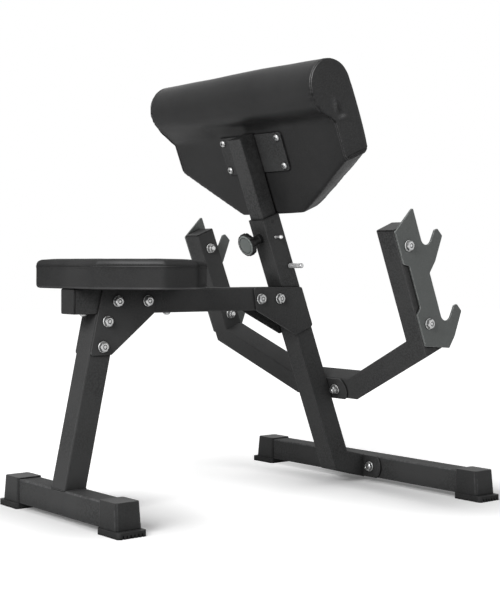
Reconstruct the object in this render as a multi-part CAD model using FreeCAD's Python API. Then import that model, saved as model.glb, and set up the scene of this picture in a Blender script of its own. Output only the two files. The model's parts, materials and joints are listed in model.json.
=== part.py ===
import FreeCAD, Part

import math
import os

# Preacher curl bench: a seat on a bolted steel frame, an arm pad on a telescoping leaning post
# with a spring pin, and a rack with two pairs of bar hooks in front.
# Lengths are in millimetres and angles in degrees. +X is the sitter's right, +Y the way the
# sitter faces and +Z up. The origin is on the floor at the middle of the whole width and depth.
# Pieces on the leaning post are drawn upright, with Z along the post, and then leaned over.

V = FreeCAD.Vector

# Square steel tube of the frame
tube_size = 45.0
tube_wall = 2.0
tube_corner = 3.0
cut_overrun = 1.0

# Base: a short rear tube and a long front tube across the bench
base_spacing = 731.0
base_lift = 10.0
rear_base_width = 404.0
front_base_width = 678.0

# Moulded feet on the ends of the base tubes
foot_length = 67.0
foot_wall = 2.5
foot_fit = 0.2
foot_end_flare = 4.5
foot_side_flare = 1.2
foot_flange_height = 11.0
foot_flange_lip = 2.5
foot_end_lip = 11.0
foot_corner = 6.0
foot_edge = 1.5
tread_count = 6
tread_width = 3.0
tread_depth = 1.6
tread_height = 6.0

# Moulded plugs in open tube ends
plug_cap = 3.0
plug_depth = 18.0
plug_wall = 2.0
plug_fit = 0.2
plug_bevel = 1.2

# Steel plate of the gussets and mounting plates
plate_thickness = 4.0
gusset_corner = 5.0
plate_length = 140.0
plate_end_bulge = 11.0
plate_bolt_spacing = 80.0

# Through bolts
bolt_diameter = 10.0
bolt_hole_clearance = 0.5
bolt_across_flats = 16.0
bolt_head_height = 6.5
bolt_end_length = 4.0
nut_height = 8.0
nut_thread_clearance = 0.1
washer_diameter = 20.0
washer_thickness = 2.0

# Seat leg and its gussets
seat_leg_lean = 12.2
seat_gusset_drop = 73.0
seat_gusset_inset = 1.0
seat_gusset_margin = 15.0
leg_bolt_drop = 13.0
leg_bolt_spacing = 45.0
seat_gusset_bolt_offset = 14.0
seat_gusset_bolt_spacing = 65.0

# Main beam under the seat
beam_top = 407.0
beam_front_gap = 2.0

# Seat
seat_width = 369.0
seat_length = 239.0
seat_corner_cut = 82.0
seat_corner = 18.0
seat_forward = 110.2
seat_overhang = 6.0
seat_thickness = 53.0
seat_edge = 10.0
seat_foot_edge = 4.0
seat_crown = 1.0
seat_crown_share = 0.45
board_thickness = 12.0
board_inset = 7.0
seat_bolt_rear_share = 0.335
seat_bolt_front_share = 0.423
screw_diameter = 8.0
screw_hole_clearance = 0.3
screw_head_diameter = 14.0
screw_head_height = 5.0
insert_flange_diameter = 22.0
insert_flange_thickness = 1.5
insert_wall = 1.5
insert_length = 9.0
insert_fit = 0.2

# Leaning post and its foot
post_lean = 21.4
post_floor_setback = 71.0
post_top = 586.0
stub_slope = 14.0
post_gusset_top_reach = 75.0
post_gusset_low_reach = 86.0
post_gusset_end = 345.0
post_gusset_heel = 3.0
post_bolt_reach = 67.0
post_bolt_spacing = 48.5

# Plastic liner in the top of the post
liner_wall = 1.2
liner_depth = 60.0
liner_collar = 2.0
slide_clearance = 0.3
liner_button_diameter = 6.0
liner_button_drop = 10.0
liner_button_recess = 0.5

# Pad post and its row of pin holes
pad_post_tail = 80.0
pad_post_top_margin = 3.0
pin_hole_pitch = 30.0
pin_hole_count = 5

# Spring pin with its knob
pin_height = 549.0
pin_diameter = 10.0
pin_clearance = 0.3
pin_travel = 10.0
pin_seat_gap = 0.5
pin_stem_diameter = 8.0
pin_collar_diameter = 15.0
pin_collar_thickness = 3.0
pin_tip_bevel = 1.5
pin_stem_grip = 2.0
barrel_wall = 2.0
barrel_end = 6.0
spring_wire = 1.2
spring_diameter = 11.6
spring_pitch = 1.75
spring_turns = 3
spring_end_gap = 0.3
knob_diameter = 46.0
knob_depth = 13.0
knob_face = 3.6
knob_clearance = 1.0
knob_neck_share = 0.65
knob_grip_count = 12
knob_grip_diameter = 7.0
knob_grip_depth = 1.8
knob_edge = 1.5
knob_disc_diameter = 40.0
knob_disc_thickness = 1.4
knob_disc_fit = 0.2

# Steel pegs on the right of the post
upper_peg_diameter = 8.0
upper_peg_length = 19.0
upper_peg_drop = 5.0
upper_peg_forward = -2.5
lower_peg_diameter = 10.0
lower_peg_length = 36.0
lower_peg_drop = 71.0
lower_peg_forward = 12.5
peg_bevel = 1.0

# Arm pad and its mounting plate
pad_width = 502.0
pad_drop = 4.0
pad_bottom_width = 184.0
pad_chamfer_height = 100.0
pad_chamfer_corner = 15.0
pad_bottom_thickness = 50.0
pad_bottom_edge = 15.0
pad_crown = 7.0
pad_end_edge = 8.0
pad_end_steps = 3
pad_roll_rise = 234.0
pad_roll_forward = 12.0
pad_roll_radius = 50.5
pad_roll_fillet = 25.0
pad_plate_width = 186.0
pad_plate_height = 76.0
pad_plate_corner = 6.0
pad_plate_rise = 127.0
pad_screw_width = 164.0
pad_screw_height = 56.0

# Bar rack
rack_height = 206.0
rack_crossbar_length = 168.0
rack_arm_rise = 25.7
rack_span = 585.0
rack_upright_length = 235.5

# Bar hooks: outline points are shares of the hook's depth and of the spacing of its two cradles
hook_thickness = 4.0
hook_depth = 114.0
hook_spacing = 151.0
hook_rise = 162.0
hook_cradle_radius = 14.5
hook_corner = 3.0
hook_tab_corner = 6.0
hook_belly_radius = 20.0
hook_bolt_rise = 35.0
hook_bolt_spacing = 154.0
hook_wall_share = 0.511
hook_notch_share = 0.110
hook_top_share = 0.466
hook_tip_share = 0.638
hook_bottom_share = -1.027
hook_lower_tab_share = -0.613
hook_lower_notch_share = -0.550
hook_upper_notch_share = -0.004
hook_upper_tab_share = 0.046
hook_root_share = -0.213
prong_inner_shares = (0.864, 0.250)
prong_outer_shares = (0.934, 0.248)
prong_nose_shares = (1.0, 0.135)
prong_belly_shares = (0.700, -0.113)

# Sizes that follow from those above
tube_half = tube_size / 2
tube_bore = tube_size - 2 * tube_wall
base_top = base_lift + tube_size
base_mid = base_lift + tube_half
rear_overhang = tube_half + foot_wall + foot_side_flare + foot_flange_lip
front_overhang = tube_half + washer_thickness + nut_height + bolt_end_length
rear_base_y = (rear_overhang - base_spacing - front_overhang) / 2
front_base_y = rear_base_y + base_spacing
beam_bottom = beam_top - tube_size
beam_mid = beam_top - tube_half
seat_y = rear_base_y + seat_forward
beam_rear_y = seat_y - seat_length / 2 + seat_overhang
post_floor_y = front_base_y - post_floor_setback
pad_post_size = tube_bore - 2 * (liner_wall + slide_clearance)
pad_post_half = pad_post_size / 2
pad_travel = pin_hole_pitch * (pin_hole_count - 1)
pad_back = pad_post_half + plate_thickness
pad_bottom = post_top - pad_drop
pad_plate_mid = pad_bottom + pad_plate_rise
pad_post_top = pad_plate_mid + pad_plate_height / 2 + pad_post_top_margin
pad_post_bottom = pin_height - pad_travel - pad_post_tail
pad_half = pad_width / 2
rack_w = tube_size + plate_thickness
rack_half = rack_span / 2
rack_bend = rack_crossbar_length / 2
rack_elbow = rack_height + (rack_half - rack_bend) * math.tan(math.radians(rack_arm_rise))
hook_height = rack_elbow + hook_rise
bolt_hole_radius = bolt_diameter / 2 + bolt_hole_clearance
frame_grip = tube_size + 2 * plate_thickness
post_frame = FreeCAD.Placement(V(0, post_floor_y, 0), FreeCAD.Rotation(V(1, 0, 0), post_lean))
post_up = post_frame.Rotation.multVec(V(0, 0, 1))
axis_x = V(1, 0, 0)
axis_y = V(0, 1, 0)
axis_z = V(0, 0, 1)


# Drawing helpers

def outline(corners):
    """Closed wire in the XY plane through (x, y, radius) corners, each rounded by an arc."""
    edges = []
    ends = []
    count = len(corners)
    for index, (x, y, radius) in enumerate(corners):
        corner = V(x, y, 0)
        before = V(corners[index - 1][0], corners[index - 1][1], 0) - corner
        after = V(corners[(index + 1) % count][0], corners[(index + 1) % count][1], 0) - corner
        before.normalize()
        after.normalize()
        half = before.getAngle(after) / 2
        start = corner + before * (radius / math.tan(half))
        end = corner + after * (radius / math.tan(half))
        ends.append((start, end))
        if radius > 0:
            middle = (before + after).normalize() * (radius / math.sin(half) - radius)
            edges.append(Part.Arc(start, corner + middle, end).toShape())
    lines = [Part.LineSegment(ends[i - 1][1], ends[i][0]).toShape() for i in range(count)]
    return Part.Wire(Part.__sortEdges__(edges + lines))


def rectangle(width, depth, radius, offset=V(0, 0, 0)):
    """Rounded rectangle wire in the XY plane, moved by offset."""
    x, y = width / 2, depth / 2
    wire = outline([(-x, -y, radius), (x, -y, radius), (x, y, radius), (-x, y, radius)])
    wire.translate(offset)
    return wire


def slab(wire, thickness):
    """Solid made by raising a flat wire in the XY plane along Z."""
    return Part.Face(wire).extrude(axis_z * thickness)


def turned(shape, point, direction):
    """Shape drawn along Z, moved to point and turned to run along direction."""
    move = FreeCAD.Placement(point, FreeCAD.Rotation(axis_z, direction))
    shape.Placement = move.multiply(shape.Placement)
    return shape


def leaned(shape):
    """Shape drawn upright on the post, moved to its place on the leaning post."""
    shape.Placement = post_frame.multiply(shape.Placement)
    return shape


def side_plate(wire, x, thickness):
    """Plate from a wire drawn in (Y, Z), standing at x and growing outwards along +X."""
    plate = slab(wire, thickness)
    turn = FreeCAD.Rotation(axis_y, axis_z, axis_x, "ZXY")
    plate.Placement = FreeCAD.Placement(V(x, 0, 0), turn).multiply(plate.Placement)
    return plate


def rod(point, direction, radius, length):
    """Round bar from point along direction."""
    return turned(Part.makeCylinder(radius, length), point, direction)


def pierce(shape, points, direction, radius, length):
    """Shape with a round hole from each point along direction, run past both ends."""
    for point in points:
        start = point - direction * cut_overrun
        shape = shape.cut(rod(start, direction, radius, length + 2 * cut_overrun))
    return shape


def mirrored(shape):
    """The left hand copy of a shape."""
    return shape.mirror(V(0, 0, 0), axis_x)


def trimmed(shape, point, normal):
    """Shape without what lies behind the plane through point with this normal."""
    size = shape.BoundBox.DiagonalLength
    block = Part.makeBox(2 * size, 2 * size, size, V(-size, -size, -size))
    return shape.cut(turned(block, point, normal))


def square_tube(size, wall, corner, length):
    """Hollow square tube along Z with its section centred on the axis."""
    bore = size - 2 * wall
    bore_corner = max(corner - wall, wall / 2)
    core = slab(rectangle(bore, bore, bore_corner, V(0, 0, -cut_overrun)), length + 2 * cut_overrun)
    return slab(rectangle(size, size, corner), length).cut(core)


def frame_tube(start, end, start_normal=None, end_normal=None):
    """Frame tube between two points, in line with X or Y, with an optional mitre plane at each end."""
    run = end - start
    length = run.Length
    run.normalize()
    first = tube_size if start_normal else 0
    last = tube_size if end_normal else 0
    tube = square_tube(tube_size, tube_wall, tube_corner, first + length + last)
    side = axis_x if run.x == 0 else axis_y
    turn = FreeCAD.Rotation(side, run.cross(side), run, "ZXY")
    tube.Placement = FreeCAD.Placement(start - run * first, turn)
    if start_normal:
        tube = trimmed(tube, start, start_normal)
    if end_normal:
        tube = trimmed(tube, end, end_normal)
    return tube


def group(solids):
    """Separate solids kept together in one node."""
    return Part.makeCompound(solids)


# Fasteners

def hexagon(across_flats, height):
    """Six sided prism standing on the XY plane."""
    radius = across_flats / 2 / math.cos(math.pi / 6)
    corners = [(radius * math.cos(k * math.pi / 3), radius * math.sin(k * math.pi / 3), 0) for k in range(6)]
    return slab(outline(corners), height)


def ring(outer, inner, height):
    """Flat ring standing on the XY plane."""
    return Part.makeCylinder(outer, height).cut(Part.makeCylinder(inner, height))


def through_bolts(points, direction, grip):
    """Bolts, washers and nuts that clamp a stack of this grip, with the heads at the points."""
    bolts, washers, nuts = [], [], []
    for point in points:
        under_head = point - direction * washer_thickness
        far_face = point + direction * grip
        shank = 2 * washer_thickness + grip + nut_height + bolt_end_length
        head = turned(hexagon(bolt_across_flats, bolt_head_height), under_head, direction * -1)
        bolts.append(head.fuse(rod(under_head, direction, bolt_diameter / 2, shank)).removeSplitter())
        for seat in (under_head, far_face):
            flat = ring(washer_diameter / 2, bolt_hole_radius, washer_thickness)
            washers.append(turned(flat, seat, direction))
        bore = Part.makeCylinder(bolt_diameter / 2 + nut_thread_clearance, nut_height)
        nut = hexagon(bolt_across_flats, nut_height).cut(bore)
        nuts.append(turned(nut, far_face + direction * washer_thickness, direction))
    return group(bolts), group(washers), group(nuts)


def board_screws(points, direction, grip):
    """Round headed screws through a stack of this grip, with their flanged inserts behind it."""
    screws, inserts = [], []
    radius = screw_diameter / 2
    for point in points:
        head = rod(point, direction * -1, screw_head_diameter / 2, screw_head_height)
        screws.append(head.fuse(rod(point, direction, radius, grip)).removeSplitter())
        bore = radius + nut_thread_clearance
        insert = ring(bore + insert_wall, bore, insert_length)
        flange = ring(insert_flange_diameter / 2, bore, insert_flange_thickness)
        insert = insert.fuse(turned(flange, V(0, 0, -insert_flange_thickness), axis_z)).removeSplitter()
        inserts.append(turned(insert, point + direction * grip, direction * -1))
    return group(screws), group(inserts)


def insert_pockets(shape, points, direction, grip):
    """Shape with room for the flanged inserts and the screws that reach into them."""
    for point in points:
        back = point + direction * grip
        flange = insert_flange_diameter / 2 + insert_fit
        shape = shape.cut(rod(back, direction, flange, insert_flange_thickness + insert_fit))
        body = screw_diameter / 2 + nut_thread_clearance + insert_wall + insert_fit
        shape = shape.cut(rod(back, direction * -1, body, insert_length + insert_fit))
        shape = shape.cut(rod(point, direction, screw_diameter / 2 + screw_hole_clearance, grip))
    return shape


# Base tubes and feet

def foot(width, y):
    """Right hand foot of a base tube: a tapered cap on a treaded flange, open towards the tube."""
    outer = width / 2
    inner = outer - foot_length
    end_low = outer - foot_end_lip
    end_top = end_low - foot_end_flare
    half_top = tube_half + foot_wall
    half_low = half_top + foot_side_flare
    half_flange = half_low + foot_flange_lip
    top = base_top + foot_wall

    def level(start, end, half, z):
        return rectangle(end - start, 2 * half, foot_corner, V((start + end) / 2, y, z))

    skirt_low = level(inner, end_low, half_low, foot_flange_height)
    skirt_top = level(inner, end_top, half_top, top)
    cap = Part.makeLoft([skirt_low, skirt_top], True, True)
    cap = cap.makeFillet(foot_edge, [edge for edge in cap.Edges if edge.BoundBox.ZMin > base_top])
    cap = cap.fuse(slab(level(inner, outer, half_flange, 0), foot_flange_height))
    bore = tube_size + 2 * foot_fit
    tube_end = end_top - foot_wall + foot_fit
    cap = cap.cut(
        Part.makeBox(
            tube_end - inner + cut_overrun,
            bore,
            bore,
            V(inner - cut_overrun, y - bore / 2, base_lift - foot_fit),
        )
    )
    pitch = 2 * (half_flange - foot_corner) / tread_count
    for index in range(tread_count):
        middle = y - half_flange + foot_corner + pitch * (index + 1 / 2)
        corner = V(outer - tread_depth, middle - tread_width / 2, -cut_overrun)
        cap = cap.cut(
            Part.makeBox(tread_depth + cut_overrun, tread_width, tread_height + cut_overrun, corner)
        )
    return cap.removeSplitter()


def base_tube(width, y):
    """Cross tube whose ends stop inside its two feet."""
    half = width / 2 - foot_end_lip - foot_end_flare - foot_wall
    return frame_tube(V(-half, y, base_mid), V(half, y, base_mid))


def tube_plug():
    """Plug of an open tube end: a bevelled cap on the XY plane over a hollow insert below it."""
    cap = slab(rectangle(tube_size, tube_size, tube_corner), plug_cap)
    cap = cap.makeChamfer(plug_bevel, [edge for edge in cap.Edges if edge.BoundBox.ZMin > plug_bevel])
    insert_size = tube_bore - 2 * plug_fit
    insert = square_tube(insert_size, plug_wall, tube_wall, plug_depth)
    insert.translate(V(0, 0, -plug_depth))
    return cap.fuse(insert).removeSplitter()


# Seat leg, beam and gussets

def leg_y(z):
    """Y of the seat leg's centre line at this height."""
    return rear_base_y + (z - base_top) * math.tan(math.radians(seat_leg_lean))


def post_y(w, z):
    """Y at this height of the line that runs along the post, w in front of its centre line."""
    lean = math.radians(post_lean)
    return post_floor_y + w / math.cos(lean) - z * math.tan(lean)


def seat_gusset_bolt_points(x):
    """Head positions of the bolts through the beam and the leg."""
    first = leg_y(beam_mid) + seat_gusset_bolt_offset
    low = beam_bottom - leg_bolt_drop
    beam_points = [V(x, first, beam_mid), V(x, first + seat_gusset_bolt_spacing, beam_mid)]
    return beam_points, [V(x, leg_y(z), z) for z in (low, low - leg_bolt_spacing)]


def post_bolt_points(x):
    """Head positions of the bolts that hold the beam between the post's gussets."""
    first = post_y(-tube_half, beam_mid) - post_bolt_reach
    return [V(x, first, beam_mid), V(x, first + post_bolt_spacing, beam_mid)]


def seat_leg():
    """Leaning leg between the rear base tube and the beam, cut level at both ends."""
    foot_point = V(0, leg_y(base_top), base_top)
    head_point = V(0, leg_y(beam_bottom), beam_bottom)
    leg = frame_tube(foot_point, head_point, axis_z, axis_z * -1)
    return pierce(leg, seat_gusset_bolt_points(-tube_half)[1], axis_x, bolt_hole_radius, tube_size)


def seat_bolt_points():
    """Positions under the beam of the two bolts that hold the seat."""
    offsets = (-seat_length * seat_bolt_rear_share, seat_length * seat_bolt_front_share)
    return [V(0, seat_y + offset, beam_bottom) for offset in offsets]


def main_beam():
    """Level beam from its rear plug to the post, with its front end cut along the post."""
    front = V(0, post_y(-tube_half, beam_mid) - beam_front_gap, beam_mid)
    normal = post_frame.Rotation.multVec(axis_y) * -1
    beam = frame_tube(V(0, beam_rear_y + plug_cap, beam_mid), front, None, normal)
    across = seat_gusset_bolt_points(-tube_half)[0] + post_bolt_points(-tube_half)
    beam = pierce(beam, across, axis_x, bolt_hole_radius, tube_size)
    return pierce(beam, seat_bolt_points(), axis_z, screw_diameter / 2 + screw_hole_clearance, tube_size)


def seat_gusset():
    """Right hand plate that ties the seat leg to the beam."""
    lean = math.radians(seat_leg_lean)
    rear = tube_half / math.cos(lean) - seat_gusset_inset
    low = beam_bottom - seat_gusset_drop
    beam_points, leg_points = seat_gusset_bolt_points(tube_half)
    end = beam_points[1].y + seat_gusset_margin
    wire = outline([
        (leg_y(beam_top) - rear, beam_top, gusset_corner),
        (leg_y(low) - rear, low, gusset_corner),
        (leg_y(low) + rear, low, gusset_corner),
        (end, beam_bottom, gusset_corner),
        (end, beam_top, gusset_corner),
    ])
    plate = side_plate(wire, tube_half, plate_thickness)
    return pierce(plate, beam_points + leg_points, axis_x, bolt_hole_radius, plate_thickness)


def post_gusset():
    """Right hand plate welded to the post and bolted to the beam."""
    heel = post_frame.multVec(V(0, -tube_half - post_gusset_heel, post_gusset_end))
    toe = post_frame.multVec(V(0, tube_half, post_gusset_end))
    wire = outline([
        (post_y(-tube_half, beam_top) - post_gusset_top_reach, beam_top, gusset_corner),
        (post_y(-tube_half, beam_bottom) - post_gusset_low_reach, beam_bottom, gusset_corner),
        (heel.y, heel.z, gusset_corner),
        (toe.y, toe.z, gusset_corner),
        (post_y(tube_half, beam_top), beam_top, gusset_corner),
    ])
    plate = side_plate(wire, tube_half, plate_thickness)
    return pierce(plate, post_bolt_points(tube_half), axis_x, bolt_hole_radius, plate_thickness)


# Post and its foot

def stub_run():
    """Direction of the foot stub, from the base plate back towards the post."""
    slope = math.radians(stub_slope)
    return V(0, -math.cos(slope), math.sin(slope))


def stub_front():
    """Point where the stub's centre line meets the base plate."""
    return V(0, front_base_y - tube_half - plate_thickness, base_mid)


def post_foot():
    """Point where the centre lines of the post and its foot stub meet."""
    start, run = stub_front(), stub_run()
    lean = math.tan(math.radians(post_lean))
    distance = (post_floor_y - start.z * lean - start.y) / (run.y + run.z * lean)
    return start + run * distance


def main_post():
    """Leaning outer post, mitred to its foot stub and open at the top for the liner."""
    mitre = post_up - stub_run() * -1
    top = post_frame.multVec(V(0, 0, post_top - liner_collar))
    post = frame_tube(post_foot(), top, mitre.normalize())
    rear = post_frame.multVec(V(0, -tube_half, pin_height))
    inward = post_frame.Rotation.multVec(axis_y)
    post = pierce(post, [rear], inward, pin_diameter / 2 + pin_clearance, tube_wall)
    button = post_frame.multVec(V(-tube_half, 0, post_top - liner_button_drop))
    return pierce(post, [button], axis_x, liner_button_diameter / 2 + slide_clearance, tube_size)


def post_foot_stub():
    """Short tube from the foot of the post down to the base plate."""
    mitre = stub_run() * -1 - post_up
    return frame_tube(post_foot(), stub_front(), mitre.normalize(), axis_y * -1)


def mount_plate():
    """Plate with bulged ends and two bolt holes, drawn in the XY plane with its length along X."""
    end, half = plate_length / 2, tube_half
    shoulder = end - plate_end_bulge
    corners = [V(-shoulder, -half, 0), V(shoulder, -half, 0), V(shoulder, half, 0), V(-shoulder, half, 0)]
    edges = [
        Part.LineSegment(corners[0], corners[1]).toShape(),
        Part.Arc(corners[1], V(end, 0, 0), corners[2]).toShape(),
        Part.LineSegment(corners[2], corners[3]).toShape(),
        Part.Arc(corners[3], V(-end, 0, 0), corners[0]).toShape(),
    ]
    plate = slab(Part.Wire(edges), plate_thickness)
    return pierce(plate, plate_bolt_points(V(0, 0, 0)), axis_z, bolt_hole_radius, plate_thickness)


def plate_bolt_points(middle):
    """Positions of the two bolts of a mounting plate about its middle."""
    return [middle + axis_x * (side * plate_bolt_spacing / 2) for side in (-1, 1)]


def base_plate():
    """Mounting plate on the rear face of the front base tube."""
    plate = mount_plate()
    turn = FreeCAD.Rotation(axis_x, axis_z * -1, axis_y, "ZXY")
    plate.Placement = FreeCAD.Placement(stub_front(), turn)
    return plate


def rack_plate():
    """Mounting plate on the front face of the post, drawn upright."""
    plate = mount_plate()
    turn = FreeCAD.Rotation(axis_x, axis_z * -1, axis_y, "ZXY")
    plate.Placement = FreeCAD.Placement(V(0, tube_half, rack_height), turn)
    return leaned(plate)


def post_liner():
    """Liner that guides the pad post, with a collar on the post's end and two snap buttons."""
    bore = pad_post_size + 2 * slide_clearance
    low = post_top - liner_collar - liner_depth
    body = slab(rectangle(tube_bore, tube_bore, tube_wall / 2, V(0, 0, low)), liner_depth)
    collar = slab(rectangle(tube_size, tube_size, tube_corner, V(0, 0, low + liner_depth)), liner_collar)
    button_z = post_top - liner_button_drop
    reach = tube_half - liner_button_recess
    button = rod(V(-reach, 0, button_z), axis_x, liner_button_diameter / 2, 2 * reach)
    core = slab(rectangle(bore, bore, tube_corner, V(0, 0, low - cut_overrun)), liner_depth + post_top)
    liner = body.fuse(collar).fuse(button).cut(core)
    hole = pin_diameter / 2 + 2 * pin_clearance
    liner = pierce(liner, [V(0, -tube_bore / 2, pin_height)], axis_y, hole, tube_half)
    return leaned(liner.removeSplitter())


# Pad post and spring pin, drawn upright

def pad_post():
    """Inner post with its row of pin holes in the rear wall."""
    post = square_tube(pad_post_size, tube_wall, tube_corner, pad_post_top - pad_post_bottom)
    post.translate(V(0, 0, pad_post_bottom))
    points = [V(0, -pad_post_half, pin_height - k * pin_hole_pitch) for k in range(pin_hole_count)]
    return leaned(pierce(post, points, axis_y, pin_diameter / 2 + 2 * pin_clearance, tube_wall))


def pad_post_plug():
    """Flat plug inside the top end of the pad post."""
    size = pad_post_size - 2 * tube_wall - 2 * plug_fit
    return leaned(slab(rectangle(size, size, tube_wall / 2, V(0, 0, pad_post_top - plug_cap)), plug_cap))


def outward(shape, distance):
    """Shape drawn along Z, set on the pin's axis at this distance behind the post's rear face."""
    return leaned(turned(shape, V(0, -tube_half - distance, pin_height), axis_y * -1))


collar_out = pin_travel + pin_seat_gap
spring_start = collar_out + pin_collar_thickness + spring_end_gap
spring_room = spring_turns * spring_pitch + spring_wire
barrel_inside = spring_start + spring_room + spring_end_gap
barrel_length = barrel_inside + barrel_end
barrel_bore = pin_collar_diameter / 2 + pin_clearance
barrel_radius = barrel_bore + barrel_wall
knob_hollow_out = barrel_length + pin_travel + pin_seat_gap
knob_out = knob_hollow_out + knob_face
knob_start = knob_out - knob_depth
disc_seat = knob_depth - knob_disc_thickness


def pin_barrel():
    """Sleeve welded on the post's rear face that holds the pin and its spring."""
    barrel = ring(barrel_radius, barrel_bore, barrel_inside)
    end = ring(barrel_radius, pin_stem_diameter / 2 + pin_clearance, barrel_end)
    end.translate(V(0, 0, barrel_inside))
    return outward(barrel.fuse(end).removeSplitter(), 0)


def pin_plunger():
    """Stepped pin, drawn out so that its tip stands in the post's wall."""
    nose_length = tube_wall + collar_out
    nose = Part.makeCylinder(pin_diameter / 2, nose_length)
    tip = [edge for edge in nose.Edges if edge.BoundBox.ZMax < pin_tip_bevel]
    nose = nose.makeChamfer(pin_tip_bevel, tip)
    collar = Part.makeCylinder(pin_collar_diameter / 2, pin_collar_thickness, V(0, 0, nose_length))
    stem_start = nose_length + pin_collar_thickness
    stem_length = knob_hollow_out + pin_stem_grip + tube_wall - stem_start
    stem = Part.makeCylinder(pin_stem_diameter / 2, stem_length, V(0, 0, stem_start))
    return outward(nose.fuse(collar).fuse(stem).removeSplitter(), -tube_wall)


def pin_spring():
    """Compressed spring on the pin's stem: one tube on arcs of a quarter turn, with its own gap printed."""
    radius = spring_diameter / 2
    quarters = 4 * spring_turns
    rise = spring_pitch / 4

    def point(step):
        angle = step * math.pi / 2
        return V(radius * math.cos(angle), radius * math.sin(angle), spring_wire / 2 + rise * step)

    arcs = [Part.Arc(point(k), point(k + 1 / 2), point(k + 1)).toShape() for k in range(quarters)]
    path = Part.Wire(arcs)
    start = path.Edges[0].tangentAt(path.Edges[0].FirstParameter)
    section = Part.Wire(Part.makeCircle(spring_wire / 2, point(0), start))
    spring = path.makePipeShell([section], True, False)
    gap = min((point(k / 4) - point(k / 4 + 4)).Length for k in range(4 * quarters - 16)) - spring_wire
    print("spring gap", round(gap, 3), "mm")
    return outward(spring, spring_start)


def pin_knob():
    """Scalloped knob with a hollow that runs over the barrel and a seat for its disc."""
    radius = knob_diameter / 2
    neck = knob_diameter * knob_neck_share / 2
    rim = knob_depth / 3
    profile = Part.makePolygon([
        V(0, 0, 0), V(neck, 0, 0), V(radius, 0, rim), V(radius, 0, knob_depth - knob_edge),
        V(radius - knob_edge, 0, knob_depth), V(0, 0, knob_depth), V(0, 0, 0),
    ])
    knob = Part.Face(profile).revolve(V(0, 0, 0), axis_z, 360)
    grip = knob_grip_diameter / 2
    for index in range(knob_grip_count):
        angle = 2 * math.pi * index / knob_grip_count
        reach = radius + grip - knob_grip_depth
        groove = Part.makeCylinder(grip, knob_depth, V(reach * math.cos(angle), reach * math.sin(angle), 0))
        knob = knob.cut(groove)
    hollow = barrel_radius + knob_clearance
    knob = knob.cut(Part.makeCylinder(hollow, knob_depth - knob_face))
    stem = Part.makeCylinder(pin_stem_diameter / 2 + knob_disc_fit, knob_depth - knob_face + pin_stem_grip)
    disc = Part.makeCylinder(knob_disc_diameter / 2 + knob_disc_fit, knob_depth, V(0, 0, disc_seat))
    return outward(knob.cut(stem).cut(disc), knob_start)


def knob_disc():
    """Flat disc let into the knob's face."""
    return outward(Part.makeCylinder(knob_disc_diameter / 2, knob_disc_thickness), knob_start + disc_seat)


def side_pegs():
    """Two round pegs standing out of the right face of the post."""
    pegs = []
    places = (
        (upper_peg_diameter, upper_peg_length, V(tube_half, upper_peg_forward, pin_height - upper_peg_drop)),
        (lower_peg_diameter, lower_peg_length, V(tube_half, lower_peg_forward, pin_height - lower_peg_drop)),
    )
    for diameter, length, point in places:
        peg = Part.makeCylinder(diameter / 2, length)
        tip = [edge for edge in peg.Edges if edge.BoundBox.ZMin > peg_bevel]
        pegs.append(leaned(turned(peg.makeChamfer(peg_bevel, tip), point, axis_x)))
    return group(pegs)


# Arm pad, drawn upright

def pad_section(x, inset):
    """Side profile of the pad at x, drawn in by inset except along its flat back."""
    roll = V(x, pad_back + pad_roll_forward, pad_bottom + pad_roll_rise)
    radius = pad_roll_radius - inset
    fillet = pad_roll_fillet + inset
    across = pad_roll_forward + fillet
    hollow = V(x, pad_back - fillet, roll.z - math.sqrt((radius + fillet) ** 2 - across ** 2))
    start = math.atan2(hollow.z - roll.z, hollow.y - roll.y) + 2 * math.pi
    bottom = pad_bottom + inset
    front = pad_back + pad_bottom_thickness - inset
    edge = pad_bottom_edge

    def on_roll(angle):
        return roll + V(0, radius * math.cos(angle), radius * math.sin(angle))

    def on_hollow(angle):
        return hollow + V(0, fillet * math.cos(angle), fillet * math.sin(angle))

    turn = start - math.pi
    steps = [start + (0 - start) * k / 3 for k in range(4)]
    low_back = V(x, pad_back, bottom)
    low_front = V(x, front - edge, bottom)
    toe = V(x, front, bottom + edge)
    chord = on_roll(0) - toe
    bulge = V(0, chord.z, -chord.y).normalize() * pad_crown
    corner = V(x, front - edge + edge * math.sin(math.pi / 4), bottom + edge - edge * math.cos(math.pi / 4))
    edges = [
        Part.LineSegment(low_back, on_hollow(0)).toShape(),
        Part.Arc(on_hollow(0), on_hollow(turn / 2), on_hollow(turn)).toShape(),
    ]
    for first, last in zip(steps, steps[1:]):
        edges.append(Part.Arc(on_roll(first), on_roll((first + last) / 2), on_roll(last)).toShape())
    edges.append(Part.Arc(on_roll(0), toe + chord / 2 + bulge, toe).toShape())
    edges.append(Part.Arc(toe, corner, low_front).toShape())
    edges.append(Part.LineSegment(low_front, low_back).toShape())
    return Part.Wire(edges)


def pad_block(inset, top, rear, depth):
    """Block with the pad's outline seen from behind, drawn in by inset, from its rear face forwards."""
    half = pad_half - inset
    low = pad_bottom_width / 2
    bottom = pad_bottom + inset
    shoulder = pad_bottom + pad_chamfer_height
    corner = pad_chamfer_corner
    wire = outline([
        (-low, bottom, corner),
        (low, bottom, corner),
        (half, shoulder, corner),
        (half, top, 0),
        (-half, top, 0),
        (-half, shoulder, corner),
    ])
    block = slab(wire, depth)
    turn = FreeCAD.Rotation(axis_x, axis_z, axis_y * -1, "ZXY")
    block.Placement = FreeCAD.Placement(V(0, rear + depth, 0), turn)
    return block


def pad_board():
    """Plywood board let into the flat back of the pad."""
    top = pad_bottom + pad_roll_rise - pad_roll_radius - pad_roll_fillet / 2 - board_inset
    return pad_block(board_inset, top, pad_back, board_thickness)


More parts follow.
